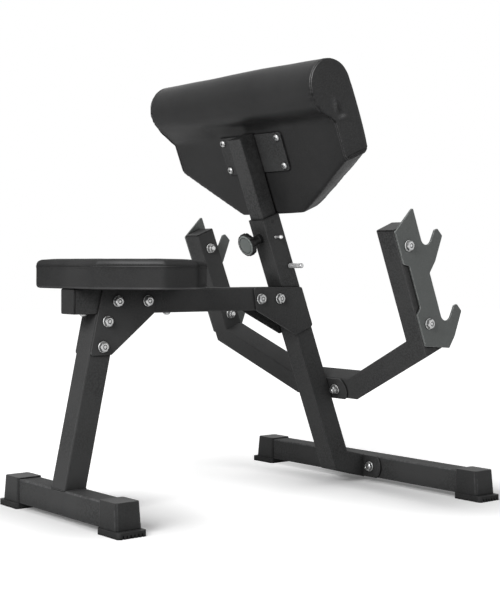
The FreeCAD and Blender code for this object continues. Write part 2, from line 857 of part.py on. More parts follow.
def pad_screw_points():
    """Positions on the rear of the pad plate of its four screws."""
    x, z = pad_screw_width / 2, pad_screw_height / 2
    return [V(a * x, pad_post_half, pad_plate_mid + b * z) for a in (-1, 1) for b in (-1, 1)]


def pad_cushion():
    """Arm pad with a roll along its top, crowned front, rounded ends and chamfered lower corners."""
    angles = [math.pi / 2 * k / pad_end_steps for k in range(pad_end_steps + 1)]
    stations = [
        (pad_half - pad_end_edge * (1 - math.sin(angle)), pad_end_edge * (1 - math.cos(angle)))
        for angle in angles
    ]
    sections = [pad_section(-x, inset) for x, inset in reversed(stations)]
    sections += [pad_section(x, inset) for x, inset in stations]
    pad = Part.makeLoft(sections, True, True)
    top = pad_bottom + pad_roll_rise + 2 * pad_roll_radius
    depth = pad_bottom_thickness + 3 * pad_roll_radius
    pad = pad.common(pad_block(0, top, pad_back - pad_roll_radius, depth)).cut(pad_board())
    return insert_pockets(pad, pad_screw_points(), axis_y, plate_thickness + board_thickness)


def pad_plate():
    """Steel plate between the pad post and the pad."""
    wire = rectangle(pad_plate_width, pad_plate_height, pad_plate_corner)
    plate = slab(wire, plate_thickness)
    turn = FreeCAD.Rotation(axis_x, axis_z * -1, axis_y, "ZXY")
    plate.Placement = FreeCAD.Placement(V(0, pad_post_half, pad_plate_mid), turn)
    hole = screw_diameter / 2 + screw_hole_clearance
    return pierce(plate, pad_screw_points(), axis_y, hole, plate_thickness)


# Seat

def seat_level(inset, z):
    """Outline of the seat with its cut corners, drawn in by inset, at this height."""
    corner = max(seat_corner - inset, seat_edge)
    x, y = seat_width / 2 - inset, seat_length / 2 - inset
    cut = seat_corner_cut - inset * (2 - math.sqrt(2))
    right = [(x - cut, -y, corner), (x, cut - y, corner), (x, y - cut, corner), (x - cut, y, corner)]
    left = [(-across, along, radius) for across, along, radius in reversed(right)]
    wire = outline(right + left)
    wire.translate(V(0, seat_y, z))
    return wire


def seat_board():
    """Plywood board let into the bottom of the seat."""
    return slab(seat_level(board_inset, beam_top), board_thickness)


def seat_cushion():
    """Seat cushion: drawn in at its foot, upright sides, rounded upper edge and a low crown."""
    top = beam_top + seat_thickness - seat_crown
    levels = [(seat_foot_edge, beam_top), (0, beam_top + seat_foot_edge)]
    for step in range(4):
        angle = math.pi / 2 * step / 3
        levels.append((seat_edge * (1 - math.cos(angle)), top - seat_edge * (1 - math.sin(angle))))
    levels.append((seat_length / 2 * seat_crown_share, top + seat_crown))
    cushion = Part.makeLoft([seat_level(inset, z) for inset, z in levels], True, True)
    cushion = cushion.cut(seat_board())
    return insert_pockets(cushion, seat_bolt_points(), axis_z, tube_size + board_thickness)


# Bar rack and hooks, drawn upright

def rack_corners():
    """Right hand corner points of the rack's centre line: crossbar end, elbow and upright top."""
    top = rack_elbow + rack_upright_length - plug_cap
    return [V(rack_bend, rack_w, rack_height), V(rack_half, rack_w, rack_elbow), V(rack_half, rack_w, top)]


def rack_bolt_points(w):
    """Positions of the bolts through the rack plate and the crossbar."""
    return plate_bolt_points(V(0, w, rack_height))


def hook_bolt_points(x):
    """Positions of the two bolts of a hook plate on its upright."""
    return [V(x, rack_w, hook_height + hook_bolt_rise - k * hook_bolt_spacing) for k in range(2)]


def rack_tubes():
    """Crossbar, right arm and right upright of the rack, mitred to each other."""
    bend, elbow, top = rack_corners()
    inner = V(-bend.x, bend.y, bend.z)
    arm = (elbow - bend).normalize()
    low_mitre = (axis_x + arm).normalize()
    high_mitre = (arm + axis_z).normalize()
    left_mitre = V(-low_mitre.x, 0, low_mitre.z)
    crossbar = frame_tube(inner, bend, left_mitre * -1, low_mitre * -1)
    crossbar = pierce(crossbar, rack_bolt_points(rack_w - tube_half), axis_y, bolt_hole_radius, tube_size)
    right_arm = frame_tube(bend, elbow, low_mitre, high_mitre * -1)
    upright = frame_tube(elbow, top, high_mitre)
    upright = pierce(upright, hook_bolt_points(rack_half - tube_half), axis_x, bolt_hole_radius, tube_size)
    return crossbar, right_arm, upright


def rack_plug():
    """Plug in the top of the right upright."""
    plug = tube_plug()
    plug.translate(rack_corners()[2])
    return plug


def hook_corner_at(shares, drop, radius):
    """Corner of the hook's outline from its shares of depth and cradle spacing."""
    rear = rack_w - tube_half
    depth_share, spacing_share = shares
    return (rear + hook_depth * depth_share, hook_height + hook_spacing * (spacing_share - drop), radius)


def hook_corners():
    """Rounded corners of the hook plate's outline, from its top round the two prongs and up its rear edge."""
    corners = [hook_corner_at((0, hook_top_share), 0, hook_corner)]
    corners.append(hook_corner_at((hook_wall_share, hook_tip_share), 0, hook_corner))
    for drop in range(2):
        corners.append(hook_corner_at((hook_wall_share, 0), drop, hook_cradle_radius))
        corners.append(hook_corner_at(prong_inner_shares, drop, hook_corner))
        corners.append(hook_corner_at(prong_outer_shares, drop, hook_corner))
        corners.append(hook_corner_at(prong_nose_shares, drop, hook_corner))
        corners.append(hook_corner_at(prong_belly_shares, drop, hook_belly_radius))
        corners.append(hook_corner_at((hook_wall_share, hook_root_share), drop, hook_corner))
    corners.append(hook_corner_at((0, hook_bottom_share), 0, hook_corner))
    corners.append(hook_corner_at((0, hook_lower_tab_share), 0, hook_tab_corner))
    corners.append(hook_corner_at((hook_notch_share, hook_lower_notch_share), 0, hook_corner))
    corners.append(hook_corner_at((hook_notch_share, hook_upper_notch_share), 0, hook_corner))
    corners.append(hook_corner_at((0, hook_upper_tab_share), 0, hook_tab_corner))
    return corners


def bar_hook():
    """Right hand hook plate with two bar cradles, on the outer face of the upright."""
    x = rack_half + tube_half
    plate = side_plate(outline(hook_corners()), x, hook_thickness)
    return pierce(plate, hook_bolt_points(x), axis_x, bolt_hole_radius, hook_thickness)


# Assembly: every node by name

def pair(name, shape):
    """Left and right nodes of a shape drawn on the right."""
    return {name + "_right": shape, name + "_left": mirrored(shape)}


def bolt_nodes(name, sets):
    """Bolt, washer and nut nodes of one joint."""
    bolts, washers, nuts = sets
    return {name + "_bolts": bolts, name + "_washers": washers, name + "_nuts": nuts}


def base_nodes():
    """Base tubes with their feet."""
    nodes = {
        "rear_base_tube": base_tube(rear_base_width, rear_base_y),
        "front_base_tube": pierce(
            base_tube(front_base_width, front_base_y),
            plate_bolt_points(V(0, front_base_y - tube_half, base_mid)),
            axis_y,
            bolt_hole_radius,
            tube_size,
        ),
    }
    nodes.update(pair("rear_foot", foot(rear_base_width, rear_base_y)))
    nodes.update(pair("front_foot", foot(front_base_width, front_base_y)))
    return nodes


def seat_frame_nodes():
    """Seat leg, beam, gussets and their bolts."""
    beam_plug = turned(tube_plug(), V(0, beam_rear_y + plug_cap, beam_mid), axis_y * -1)
    nodes = {"seat_leg": seat_leg(), "main_beam": main_beam(), "beam_plug": beam_plug}
    nodes.update(pair("seat_gusset", seat_gusset()))
    nodes.update(pair("post_gusset", post_gusset()))
    outer = tube_half + plate_thickness
    beam_points, leg_points = seat_gusset_bolt_points(outer)
    nodes.update(bolt_nodes("seat_gusset", through_bolts(beam_points + leg_points, axis_x * -1, frame_grip)))
    nodes.update(bolt_nodes("post_gusset", through_bolts(post_bolt_points(outer), axis_x * -1, frame_grip)))
    return nodes


def post_nodes():
    """Post, foot, plates and liner, with the base bolts."""
    nodes = {
        "main_post": main_post(),
        "post_foot_stub": post_foot_stub(),
        "base_plate": base_plate(),
        "rack_plate": rack_plate(),
        "post_liner": post_liner(),
        "pin_barrel": pin_barrel(),
        "pin_spring": pin_spring(),
        "side_pegs": side_pegs(),
    }
    points = plate_bolt_points(stub_front())
    nodes.update(bolt_nodes("base", through_bolts(points, axis_y, tube_size + plate_thickness)))
    return nodes


def rack_nodes():
    """Rack tubes, plugs, hooks and their bolts."""
    crossbar, arm, upright = rack_tubes()
    nodes = {"rack_crossbar": crossbar}
    for name, shape in (("rack_arm", arm), ("rack_upright", upright)):
        nodes.update(pair(name, shape))
    for name, shape in (("rack_plug", rack_plug()), ("bar_hook", bar_hook())):
        nodes.update(pair(name, shape))
    front = rack_bolt_points(rack_w + tube_half)
    nodes.update(bolt_nodes("rack", through_bolts(front, axis_y * -1, tube_size + plate_thickness)))
    outer = hook_bolt_points(rack_half + tube_half + hook_thickness)
    sets = through_bolts(outer, axis_x * -1, tube_size + hook_thickness)
    both = [group(shape.Solids + mirrored(shape).Solids) for shape in sets]
    nodes.update(bolt_nodes("hook", both))
    return {name: leaned(shape) for name, shape in nodes.items()}


def pad_nodes():
    """Everything that slides with the pad post."""
    points = pad_screw_points()
    grip = plate_thickness + board_thickness
    screws, inserts = board_screws(points, axis_y, grip)
    return {
        "pad_post": pad_post(),
        "pad_post_plug": pad_post_plug(),
        "pad_plate": leaned(pad_plate()),
        "pad_board": leaned(insert_pockets(pad_board(), points, axis_y, grip)),
        "pad_cushion": leaned(pad_cushion()),
        "pad_screws": leaned(screws),
        "pad_inserts": leaned(inserts),
    }


def seat_nodes():
    """Seat cushion, its board and what holds them on the beam."""
    points = seat_bolt_points()
    grip = tube_size + board_thickness
    screws, inserts = board_screws(points, axis_z, grip)
    return {
        "seat_board": insert_pockets(seat_board(), points, axis_z, grip),
        "seat_cushion": seat_cushion(),
        "seat_bolts": screws,
        "seat_inserts": inserts,
    }


def pin_nodes():
    """What moves with the spring pin."""
    return {"pin_plunger": pin_plunger(), "pin_knob": pin_knob(), "knob_disc": knob_disc()}


def main():
    """Build every node and write one STEP file for each."""
    os.makedirs("parts", exist_ok=True)
    for build in (base_nodes, seat_frame_nodes, post_nodes, rack_nodes, pad_nodes, seat_nodes, pin_nodes):
        for name, shape in build().items():
            shape.exportStep("parts/" + name + ".step")
            print(name, len(shape.Solids), round(shape.Volume), shape.isValid())


main()
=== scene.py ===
"""Looks of a preacher curl bench, built around its packed construction model.

Lengths are in metres in the part's own axes: +X is the sitter's right, +Y the way the sitter faces, +Z up.
"""

from __future__ import annotations

import json
import logging
import math
from dataclasses import dataclass, replace
from enum import Enum
from typing import Callable, Iterable, Sequence

import bmesh
import bpy
from mathutils import Matrix, Vector, noise
from mathutils.bvhtree import BVHTree

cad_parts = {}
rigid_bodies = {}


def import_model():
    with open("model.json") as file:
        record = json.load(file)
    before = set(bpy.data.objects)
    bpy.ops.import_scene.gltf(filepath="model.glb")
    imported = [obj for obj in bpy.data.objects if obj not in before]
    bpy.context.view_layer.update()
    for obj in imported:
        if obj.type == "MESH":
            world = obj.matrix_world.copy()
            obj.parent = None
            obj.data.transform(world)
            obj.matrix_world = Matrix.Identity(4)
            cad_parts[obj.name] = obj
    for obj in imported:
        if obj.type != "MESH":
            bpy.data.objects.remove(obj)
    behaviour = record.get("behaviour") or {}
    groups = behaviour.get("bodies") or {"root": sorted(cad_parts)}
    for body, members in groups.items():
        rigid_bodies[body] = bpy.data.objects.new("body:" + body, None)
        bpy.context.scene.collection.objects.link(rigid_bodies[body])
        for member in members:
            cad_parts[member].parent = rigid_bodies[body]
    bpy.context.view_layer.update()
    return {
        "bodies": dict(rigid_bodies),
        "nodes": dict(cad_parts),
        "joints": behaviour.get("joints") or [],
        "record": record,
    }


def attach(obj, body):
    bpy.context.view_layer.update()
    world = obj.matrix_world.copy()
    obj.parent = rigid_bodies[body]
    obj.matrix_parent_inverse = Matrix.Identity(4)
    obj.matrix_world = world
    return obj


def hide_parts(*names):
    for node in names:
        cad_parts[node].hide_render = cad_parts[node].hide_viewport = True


LOG = logging.getLogger("bench")
Colour = tuple[float, float, float]
Point = tuple[float, float, float]
Pair = tuple[float, float]
Box = tuple[Vector, Vector]
Plane = tuple[Vector, Vector]
BMesh, BMEdge, BMVert = bmesh.types.BMesh, bmesh.types.BMEdge, bmesh.types.BMVert
Object, Socket, Tree = bpy.types.Object, bpy.types.NodeSocket, bpy.types.NodeTree


class Slot(Enum):
    """Material slots of the part's record."""

    FRAME = "frame_paint"
    HOOK = "hook_paint"
    FOOT = "foot_plastic"
    ZINC = "zinc_steel"
    VINYL = "vinyl"
    BOARD = "board_wood"
    KNOB = "knob_plastic"
    DISC = "disc_plastic"


class Body(Enum):
    """Moving bodies of the bench."""

    FRAME = "frame"
    PAD = "pad_carriage"
    PIN = "pin"


class Grain(Enum):
    """Surface grains, each a shader node group."""

    FINE = "fine_grain"
    HIDE = "hide_grain"
    WEAVE = "cross_weave"


class Hardware(Enum):
    """What a bolted joint is made of, each the ending of a node's name."""

    BOLTS = "bolts"
    NUTS = "nuts"
    WASHERS = "washers"


@dataclass(frozen=True)
class PostAxes:
    """Axes of the leaning post: X across, Y forward and square to the post, Z along it."""

    floor_y: float = 0.2906
    lean: float = math.radians(21.4)

    def matrix(self) -> Matrix:
        """Matrix from the post's axes to the part's."""
        return Matrix.Translation((0, self.floor_y, 0)) @ Matrix.Rotation(self.lean, 4, "X")


POST = PostAxes().matrix()
UPRIGHT = Matrix.Identity(4)


def bell(off: float, width: float) -> float:
    """Share that falls off to both sides of nought."""
    return math.exp(-(off / width) ** 2)


def fading(off: float, width: float) -> float:
    """Share that falls from one to nought as a value passes nought."""
    return 1.0 / (1.0 + math.exp(off / width))


class Sketch:
    """Adds and joins the nodes of one shader tree."""

    def __init__(self, tree: Tree) -> None:
        """Keep the tree that the nodes go into."""
        self.tree = tree

    def feed(self, socket: Socket, value: object) -> None:
        """Join a socket to an output, or set its own value.

        Args:
            socket: the input.
            value: an output or a plain value.
        """
        if isinstance(value, Socket):
            self.tree.links.new(value, socket)
        else:
            socket.default_value = value

    def add(self, kind: str, inputs: dict | None = None, **settings: object) -> bpy.types.Node:
        """Add one node.

        Args:
            kind: Blender's name of the node type.
            inputs: values or outputs for its sockets, by name or place.
            settings: the node's own options.

        Returns:
            The new node.
        """
        node = self.tree.nodes.new(kind)
        for key, value in settings.items():
            setattr(node, key, value)
        for key, value in (inputs or {}).items():
            self.feed(node.inputs[key], value)
        return node

    def math(self, operation: str, first: object, second: object) -> Socket:
        """Result of one sum of two values."""
        return self.add("ShaderNodeMath", {0: first, 1: second}, operation=operation).outputs[0]

    def fused(self, first: object, second: object, third: object) -> Socket:
        """First times second plus third."""
        return self.add("ShaderNodeMath", {0: first, 1: second, 2: third}, operation="MULTIPLY_ADD").outputs[0]

    def ranged(self, value: object, low: float, high: float, start: float, end: float) -> Socket:
        """Value moved smoothly from the range low to high into start to end."""
        inputs = {"Value": value, "From Min": low, "From Max": high, "To Min": start, "To Max": end}
        return self.add("ShaderNodeMapRange", inputs, interpolation_type="SMOOTHSTEP").outputs[0]

    def blend(self, share: object, first: object, second: object) -> Socket:
        """Colour between two, by a share."""
        return self.add("ShaderNodeMix", {0: share, 6: first, 7: second}, data_type="RGBA").outputs[2]

    def noise(self, place: object, scale: object, detail: float = 3.0, times: float = 1.0) -> Socket:
        """Noise value at a place, with the scale taken a number of times."""
        scale = scale if times == 1.0 else self.math("MULTIPLY", scale, times)
        return self.add("ShaderNodeTexNoise", {"Vector": place, "Scale": scale, "Detail": detail}).outputs[0]

    def seen(self) -> Socket:
        """Whether a ray comes from the camera, straight, by a reflection or through glass.

        Returns:
            One for such a ray, and nought for the light on the bench.
        """
        path = self.add("ShaderNodeLightPath").outputs
        seen = self.math("MAXIMUM", path["Is Camera Ray"], path["Is Glossy Ray"])
        return self.math("MAXIMUM", seen, path["Is Transmission Ray"])


class Effect(Sketch):
    """One shader node group that several finishes share, laid out from a place and a scale."""

    outputs = {Grain.FINE.value: ("Height", "Fleck"), Grain.HIDE.value: ("Height", "Fleck"),
               Grain.WEAVE.value: ("Height", "Fleck"), "soft_marks": ("Cloud", "Scuff"),
               "rim_wear_and_painted_light": ("Mask",), "crease_shade": ("Close", "Wide")}

    def __init__(self, name: str) -> None:
        """Lay out a new group.

        Args:
            name: the group's name, which is also that of its method.
        """
        super().__init__(bpy.data.node_groups.new(name, "ShaderNodeTree"))
        sockets = [("Vector", "INPUT", "NodeSocketVector"), ("Scale", "INPUT", "NodeSocketFloat")]
        sockets += [(output, "OUTPUT", "NodeSocketFloat") for output in self.outputs[name]]
        for socket, way, kind in sockets:
            self.tree.interface.new_socket(socket, in_out=way, socket_type=kind)
        given, result = self.add("NodeGroupInput").outputs, self.add("NodeGroupOutput").inputs
        self.place, self.scale = given["Vector"], given["Scale"]
        for output, value in zip(self.outputs[name], getattr(self, name)()):
            self.feed(result[output], value)

    @classmethod
    def of(cls, name: str) -> Tree:
        """The group of that name, built the first time it is asked for."""
        return bpy.data.node_groups.get(name) or cls(name).tree

    def speckle(self, detail: float, times: float = 1.0) -> Socket:
        """Noise at the group's own place and scale."""
        return self.noise(self.place, self.scale, detail, times)

    def fine_grain(self) -> tuple[Socket, ...]:
        """Height and fleck of a fine sprayed or moulded texture."""
        height = self.fused(self.speckle(1.0, 2.7), 0.4, self.speckle(2.0))
        return height, self.ranged(self.speckle(3.0, 0.2), 0.35, 0.65, 0.0, 1.0)

    def hide_grain(self) -> tuple[Socket, ...]:
        """Pebbled grain of a coated cloth.

        Returns:
            A height, and the valleys between the pebbles with some patches.
        """
        shift = self.math("MULTIPLY", self.speckle(2.0, 0.6), 0.0012)
        pushed = self.add("ShaderNodeVectorMath", {0: self.place, 1: shift}, operation="ADD").outputs[0]
        cells = self.add("ShaderNodeTexVoronoi", {"Vector": pushed, "Scale": self.scale, "Smoothness": 0.45},
                         feature="SMOOTH_F1").outputs["Distance"]
        height = self.fused(self.speckle(2.0, 3.0), 0.35, self.ranged(cells, 0.15, 0.75, 1.0, 0.0))
        patches = self.ranged(self.speckle(2.0, 0.5), 0.35, 0.65, 0.0, 0.5)
        return height, self.math("ADD", self.ranged(cells, 0.45, 0.8, 0.0, 0.5), patches)

    def cross_weave(self) -> tuple[Socket, ...]:
        """Plain weave of a backing cloth.

        Returns:
            A height, and the gaps between its threads.
        """
        inputs = {"Vector": self.place, "Scale": self.scale, "Distortion": 0.6, "Detail": 1.0}
        cloth = self.math("MAXIMUM", *(self.add("ShaderNodeTexWave", inputs, bands_direction=way).outputs["Fac"]
                                       for way in ("X", "Y")))
        return self.fused(self.speckle(3.0, 4.0), 0.5, cloth), self.ranged(cloth, 0.2, 0.7, 1.0, 0.0)

    def soft_marks(self) -> tuple[Socket, ...]:
        """Marks of time on a surface.

        Returns:
            Slow clouding, and the faint scuffs of handling.
        """
        drawn = self.add("ShaderNodeVectorMath", {0: self.place, 1: (3.0, 0.7, 1.6)}, operation="MULTIPLY")
        scuff = self.noise(drawn.outputs[0], self.scale, 5.0, 6.0)
        return self.ranged(self.speckle(4.0), 0.3, 0.7, 0.0, 1.0), self.ranged(scuff, 0.6, 0.8, 0.0, 1.0)

    def rim_wear_and_painted_light(self) -> tuple[Socket, ...]:
        """Patchy mark of the faces that a piece marks as its rims: worn edges and painted highlights, and painted
        shade where the mark is below nought.
        """
        rim = self.add("ShaderNodeAttribute", attribute_name="rim", attribute_type="GEOMETRY").outputs["Fac"]
        return (self.math("MULTIPLY", rim, self.ranged(self.speckle(4.0), 0.38, 0.66, 0.25, 1.0)),)

    def crease_shade(self) -> tuple[Socket, ...]:
        """Painted shade where surfaces meet or nearly touch, found by ambient occlusion.

        Returns:
            Close painted shade and wide painted shade.
        """
        patch = self.ranged(self.noise(self.place, 90.0), 0.3, 0.7, 0.75, 1.0)
        shades = []
        for reach, low in ((1.0, 0.45), (9.0, 0.4)):
            distance = self.math("DIVIDE", reach, self.scale)
            clear = self.add("ShaderNodeAmbientOcclusion", {"Distance": distance}, samples=8).outputs["AO"]
            shades.append(self.math("MULTIPLY", self.ranged(clear, low, 0.93, 1.0, 0.0), patch))
        return tuple(shades)


@dataclass(frozen=True)
class Finish:
    """One finish: its colours, gloss and grain.

    The scales are in features a metre, and relief is the height of the grain.
    """

    name: str
    slot: Slot
    colour: Colour
    clouded: Colour
    # Colour that rim marks blend to: worn edges and painted highlights, and on the plugs and pegs painted shade.
    wear_and_painted_light: Colour
    smooth: float
    rough: float
    grain: Grain = Grain.FINE
    grain_scale: float = 1400.0
    relief: float = 0.00012
    strength: float = 0.35
    fleck: float = 0.2
    cloud_scale: float = 9.0
    metallic: float = 0.0
    specular: float = 0.5
    sheen: float = 0.0
    # Painted shade in creases: how strongly the near and the wide occlusion darken the colour, and their scale.
    crease: float = 0.9
    crease_wide: float = 0.5
    crease_scale: float = 190.0
    rim_scale: float = 160.0
    # Share of the colour left in full painted shade.
    painted_shade: float = 0.1
    dust: float = 0.8
    scuff: float = 0.08

    def material(self) -> bpy.types.Material:
        """The finish as a material, built the first time it is asked for."""
        return bpy.data.materials.get(self.name) or self.build()

    def build(self) -> bpy.types.Material:
        """Lay out the finish's nodes.

        Returns:
            The new material.
        """
        material = bpy.data.materials.new(self.name)
        material.use_nodes = True
        sketch = Sketch(material.node_tree)
        shader = material.node_tree.nodes["Principled BSDF"].inputs
        place = sketch.add("ShaderNodeTexCoord").outputs["Object"]
        grain, marks, rims, creases = (
            sketch.add("ShaderNodeGroup", {"Vector": place, "Scale": scale}, node_tree=Effect.of(name)).outputs
            for name, scale in ((self.grain.value, self.grain_scale), ("soft_marks", self.cloud_scale),
                                ("rim_wear_and_painted_light", self.rim_scale), ("crease_shade", self.crease_scale)))
        clouded, wear_and_painted_light = (*self.clouded, 1.0), (*self.wear_and_painted_light, 1.0)
        tone = sketch.blend(marks["Cloud"], (*self.colour, 1.0), clouded)
        flecked = sketch.blend(sketch.math("MULTIPLY", grain["Fleck"], self.fleck), tone, clouded)
        # Painted shade: the colour is blended towards a dark share of itself in creases and where a rim mark is below
        # nought; a mark above nought blends it towards the rim colour, for worn edges and painted highlights.
        depth = sketch.math("MULTIPLY", rims["Mask"], -1.0)
        for reach, share in (("Close", self.crease), ("Wide", self.crease_wide)):
            depth = sketch.math("MAXIMUM", depth, sketch.math("MULTIPLY", creases[reach], share))
        painted_shade_colour = (*(part * self.painted_shade for part in self.colour), 1.0)
        sketch.feed(shader["Base Color"], sketch.blend(depth, sketch.blend(rims["Mask"], flecked, wear_and_painted_light), painted_shade_colour))
        gloss = sketch.ranged(marks["Cloud"], 0.0, 1.0, self.smooth, self.rough)
        scuffed = sketch.fused(marks["Scuff"], self.scuff, gloss)
        sketch.feed(shader["Roughness"], sketch.fused(depth, self.dust, scuffed))
        bump = sketch.add("ShaderNodeBump", {"Strength": self.strength, "Distance": self.relief,
                                             "Height": grain["Height"]})
        sketch.feed(shader["Normal"], bump.outputs[0])
        for socket, value in (("Metallic", self.metallic), ("Specular IOR Level", self.specular),
                              ("Sheen Weight", self.sheen)):
            shader[socket].default_value = value
        return material


POWDER = Finish("charcoal_powder_coat", Slot.FRAME, (0.0265, 0.0267, 0.0269), (0.0465, 0.0468, 0.047),
                (0.085, 0.086, 0.087), 0.6, 0.7, grain_scale=1500.0, relief=0.00018, strength=0.45, fleck=0.85,
                specular=0.105)
# Lighter copy of the powder coat for the pad post, with wider painted shade: painted light that lifts its rear faces
# and darkens its side by the plate.
PAD_POST_LIT_COAT = replace(POWDER, name="pad_post_lit_coat", colour=(0.0331, 0.0333, 0.0336),
                        clouded=(0.0581, 0.0584, 0.0587), crease_wide=0.75, crease_scale=60.0)
HOOK_COAT = Finish("grey_green_hook_coat", Slot.HOOK, (0.08, 0.086, 0.0835), (0.101, 0.107, 0.1045),
                   (0.23, 0.238, 0.235), 0.42, 0.5, grain_scale=1700.0, relief=0.0001, fleck=0.6, specular=0.2)
MOULDED = Finish("moulded_foot_plastic", Slot.FOOT, (0.021, 0.0211, 0.0213), (0.0325, 0.0327, 0.033),
                 (0.05, 0.05, 0.051), 0.42, 0.5, grain_scale=1900.0, fleck=0.6, specular=0.11,
                 crease=1.0, crease_scale=150.0)
# On the plugs the rim colour is near black: a painted shadow line along their edges.
PLUG = replace(MOULDED, name="rack_plug_plastic", wear_and_painted_light=(0.003, 0.003, 0.003))
BEAM_PLUG = replace(PLUG, name="beam_plug_plastic", colour=(0.012, 0.012, 0.0122),
                    clouded=(0.0195, 0.0196, 0.0198))
ZINC = Finish("zinc_plate", Slot.ZINC, (0.34, 0.345, 0.35), (0.46, 0.46, 0.455), (0.6, 0.6, 0.6), 0.3, 0.42,
              grain_scale=2600.0, relief=0.00004, strength=0.25, fleck=0.25, cloud_scale=70.0, metallic=1.0,
              crease_wide=0.15, crease_scale=300.0)
# Lighter, rougher copy of the zinc for the washers; its lighter colour is painted light on their shaded faces.
DULL_ZINC = replace(ZINC, name="dull_zinc_plate", colour=(0.58, 0.585, 0.59), clouded=(0.72, 0.72, 0.71),
                    wear_and_painted_light=(0.8, 0.8, 0.8), smooth=0.46, rough=0.58, crease_wide=0.2, crease_scale=240.0)
# Its rim colour is darker, for the ball peg's darker stem and for painted shade in the neck peg's groove and on its
# end.
PEG = replace(ZINC, name="bright_peg_steel", colour=(0.76, 0.765, 0.77), clouded=(0.86, 0.86, 0.855),
              wear_and_painted_light=(0.42, 0.42, 0.424), rough=0.4, metallic=0.62, crease=0.35, crease_wide=0.1, crease_scale=190.0)
VINYL = Finish("black_vinyl_cover", Slot.VINYL, (0.0186, 0.0186, 0.0189), (0.0288, 0.0288, 0.0291),
               (0.24, 0.24, 0.243), 0.34, 0.42, Grain.HIDE, 620.0, 0.0003, 0.3, 0.6, 7.0, specular=0.07,
               crease=1.0, crease_wide=0.12, rim_scale=420.0)
# Copy of the vinyl for the seat with almost no reflection; its lighter colour stands in for the reflection taken away,
# and slow rim patches keep its painted highlights smooth.
SEAT_VINYL = replace(VINYL, name="black_vinyl_seat_cover", colour=(0.0275, 0.0275, 0.0278),
                     clouded=(0.0405, 0.0405, 0.0408), specular=0.0005, rim_scale=6.0)
BACKING = Finish("black_backing_cloth", Slot.BOARD, (0.014, 0.014, 0.0145), (0.024, 0.024, 0.0245),
                 (0.04, 0.04, 0.04), 0.8, 0.92, Grain.WEAVE, 420.0, 0.0003, 0.5, 0.5, 12.0, specular=0.2, sheen=0.08)
KNOB = Finish("knob_plastic_black", Slot.KNOB, (0.006, 0.006, 0.0062), (0.0095, 0.0095, 0.0097),
              (0.03, 0.031, 0.031), 0.36, 0.46, grain_scale=2200.0, relief=0.00008, specular=0.16)
DISC = Finish("knob_disc_grey_green", Slot.DISC, (0.1, 0.112, 0.107), (0.118, 0.131, 0.126),
              (0.2, 0.215, 0.21), 0.3, 0.4, grain_scale=2200.0, relief=0.00006, specular=0.25)
THREAD = Finish("black_sewing_thread", Slot.VINYL, (0.026, 0.026, 0.0265), (0.04, 0.04, 0.0405),
                (0.05, 0.05, 0.05), 0.6, 0.75, Grain.WEAVE, 2400.0, 0.00015, 0.5, 0.5, 40.0, specular=0.12)
FINISHES = {finish.slot.value: finish for finish in (POWDER, HOOK_COAT, MOULDED, ZINC, VINYL, BACKING, KNOB, DISC)}


def linked(name: str, data: bpy.types.ID) -> Object:
    """New object in the scene.

    Args:
        name: its name.
        data: its mesh, lamp or camera.

    Returns:
        The object.
    """
    made = bpy.data.objects.new(name, data)
    bpy.context.scene.collection.objects.link(made)
    return made


def smoothed(mesh: BMesh, verts: Sequence[BMVert], rounds: int) -> None:
    """Smooth some points of a mesh a number of times."""
    for _ in range(rounds):
        bmesh.ops.smooth_vert(mesh, verts=verts, factor=0.5, use_axis_x=True, use_axis_y=True, use_axis_z=True)


def marked(mesh: BMesh, share: Callable[[Vector, Vector], float]) -> None:
    """Mark each face's rim share for the finishes to read: worn edges and painted highlights above nought, painted
    shade below it.

    Args:
        mesh: the mesh.
        share: gives the mark from a face's middle and normal.
    """
    rim = mesh.faces.layers.float.new("rim")
    for face in mesh.faces:
        face[rim] = share(face.calc_center_median(), face.normal)


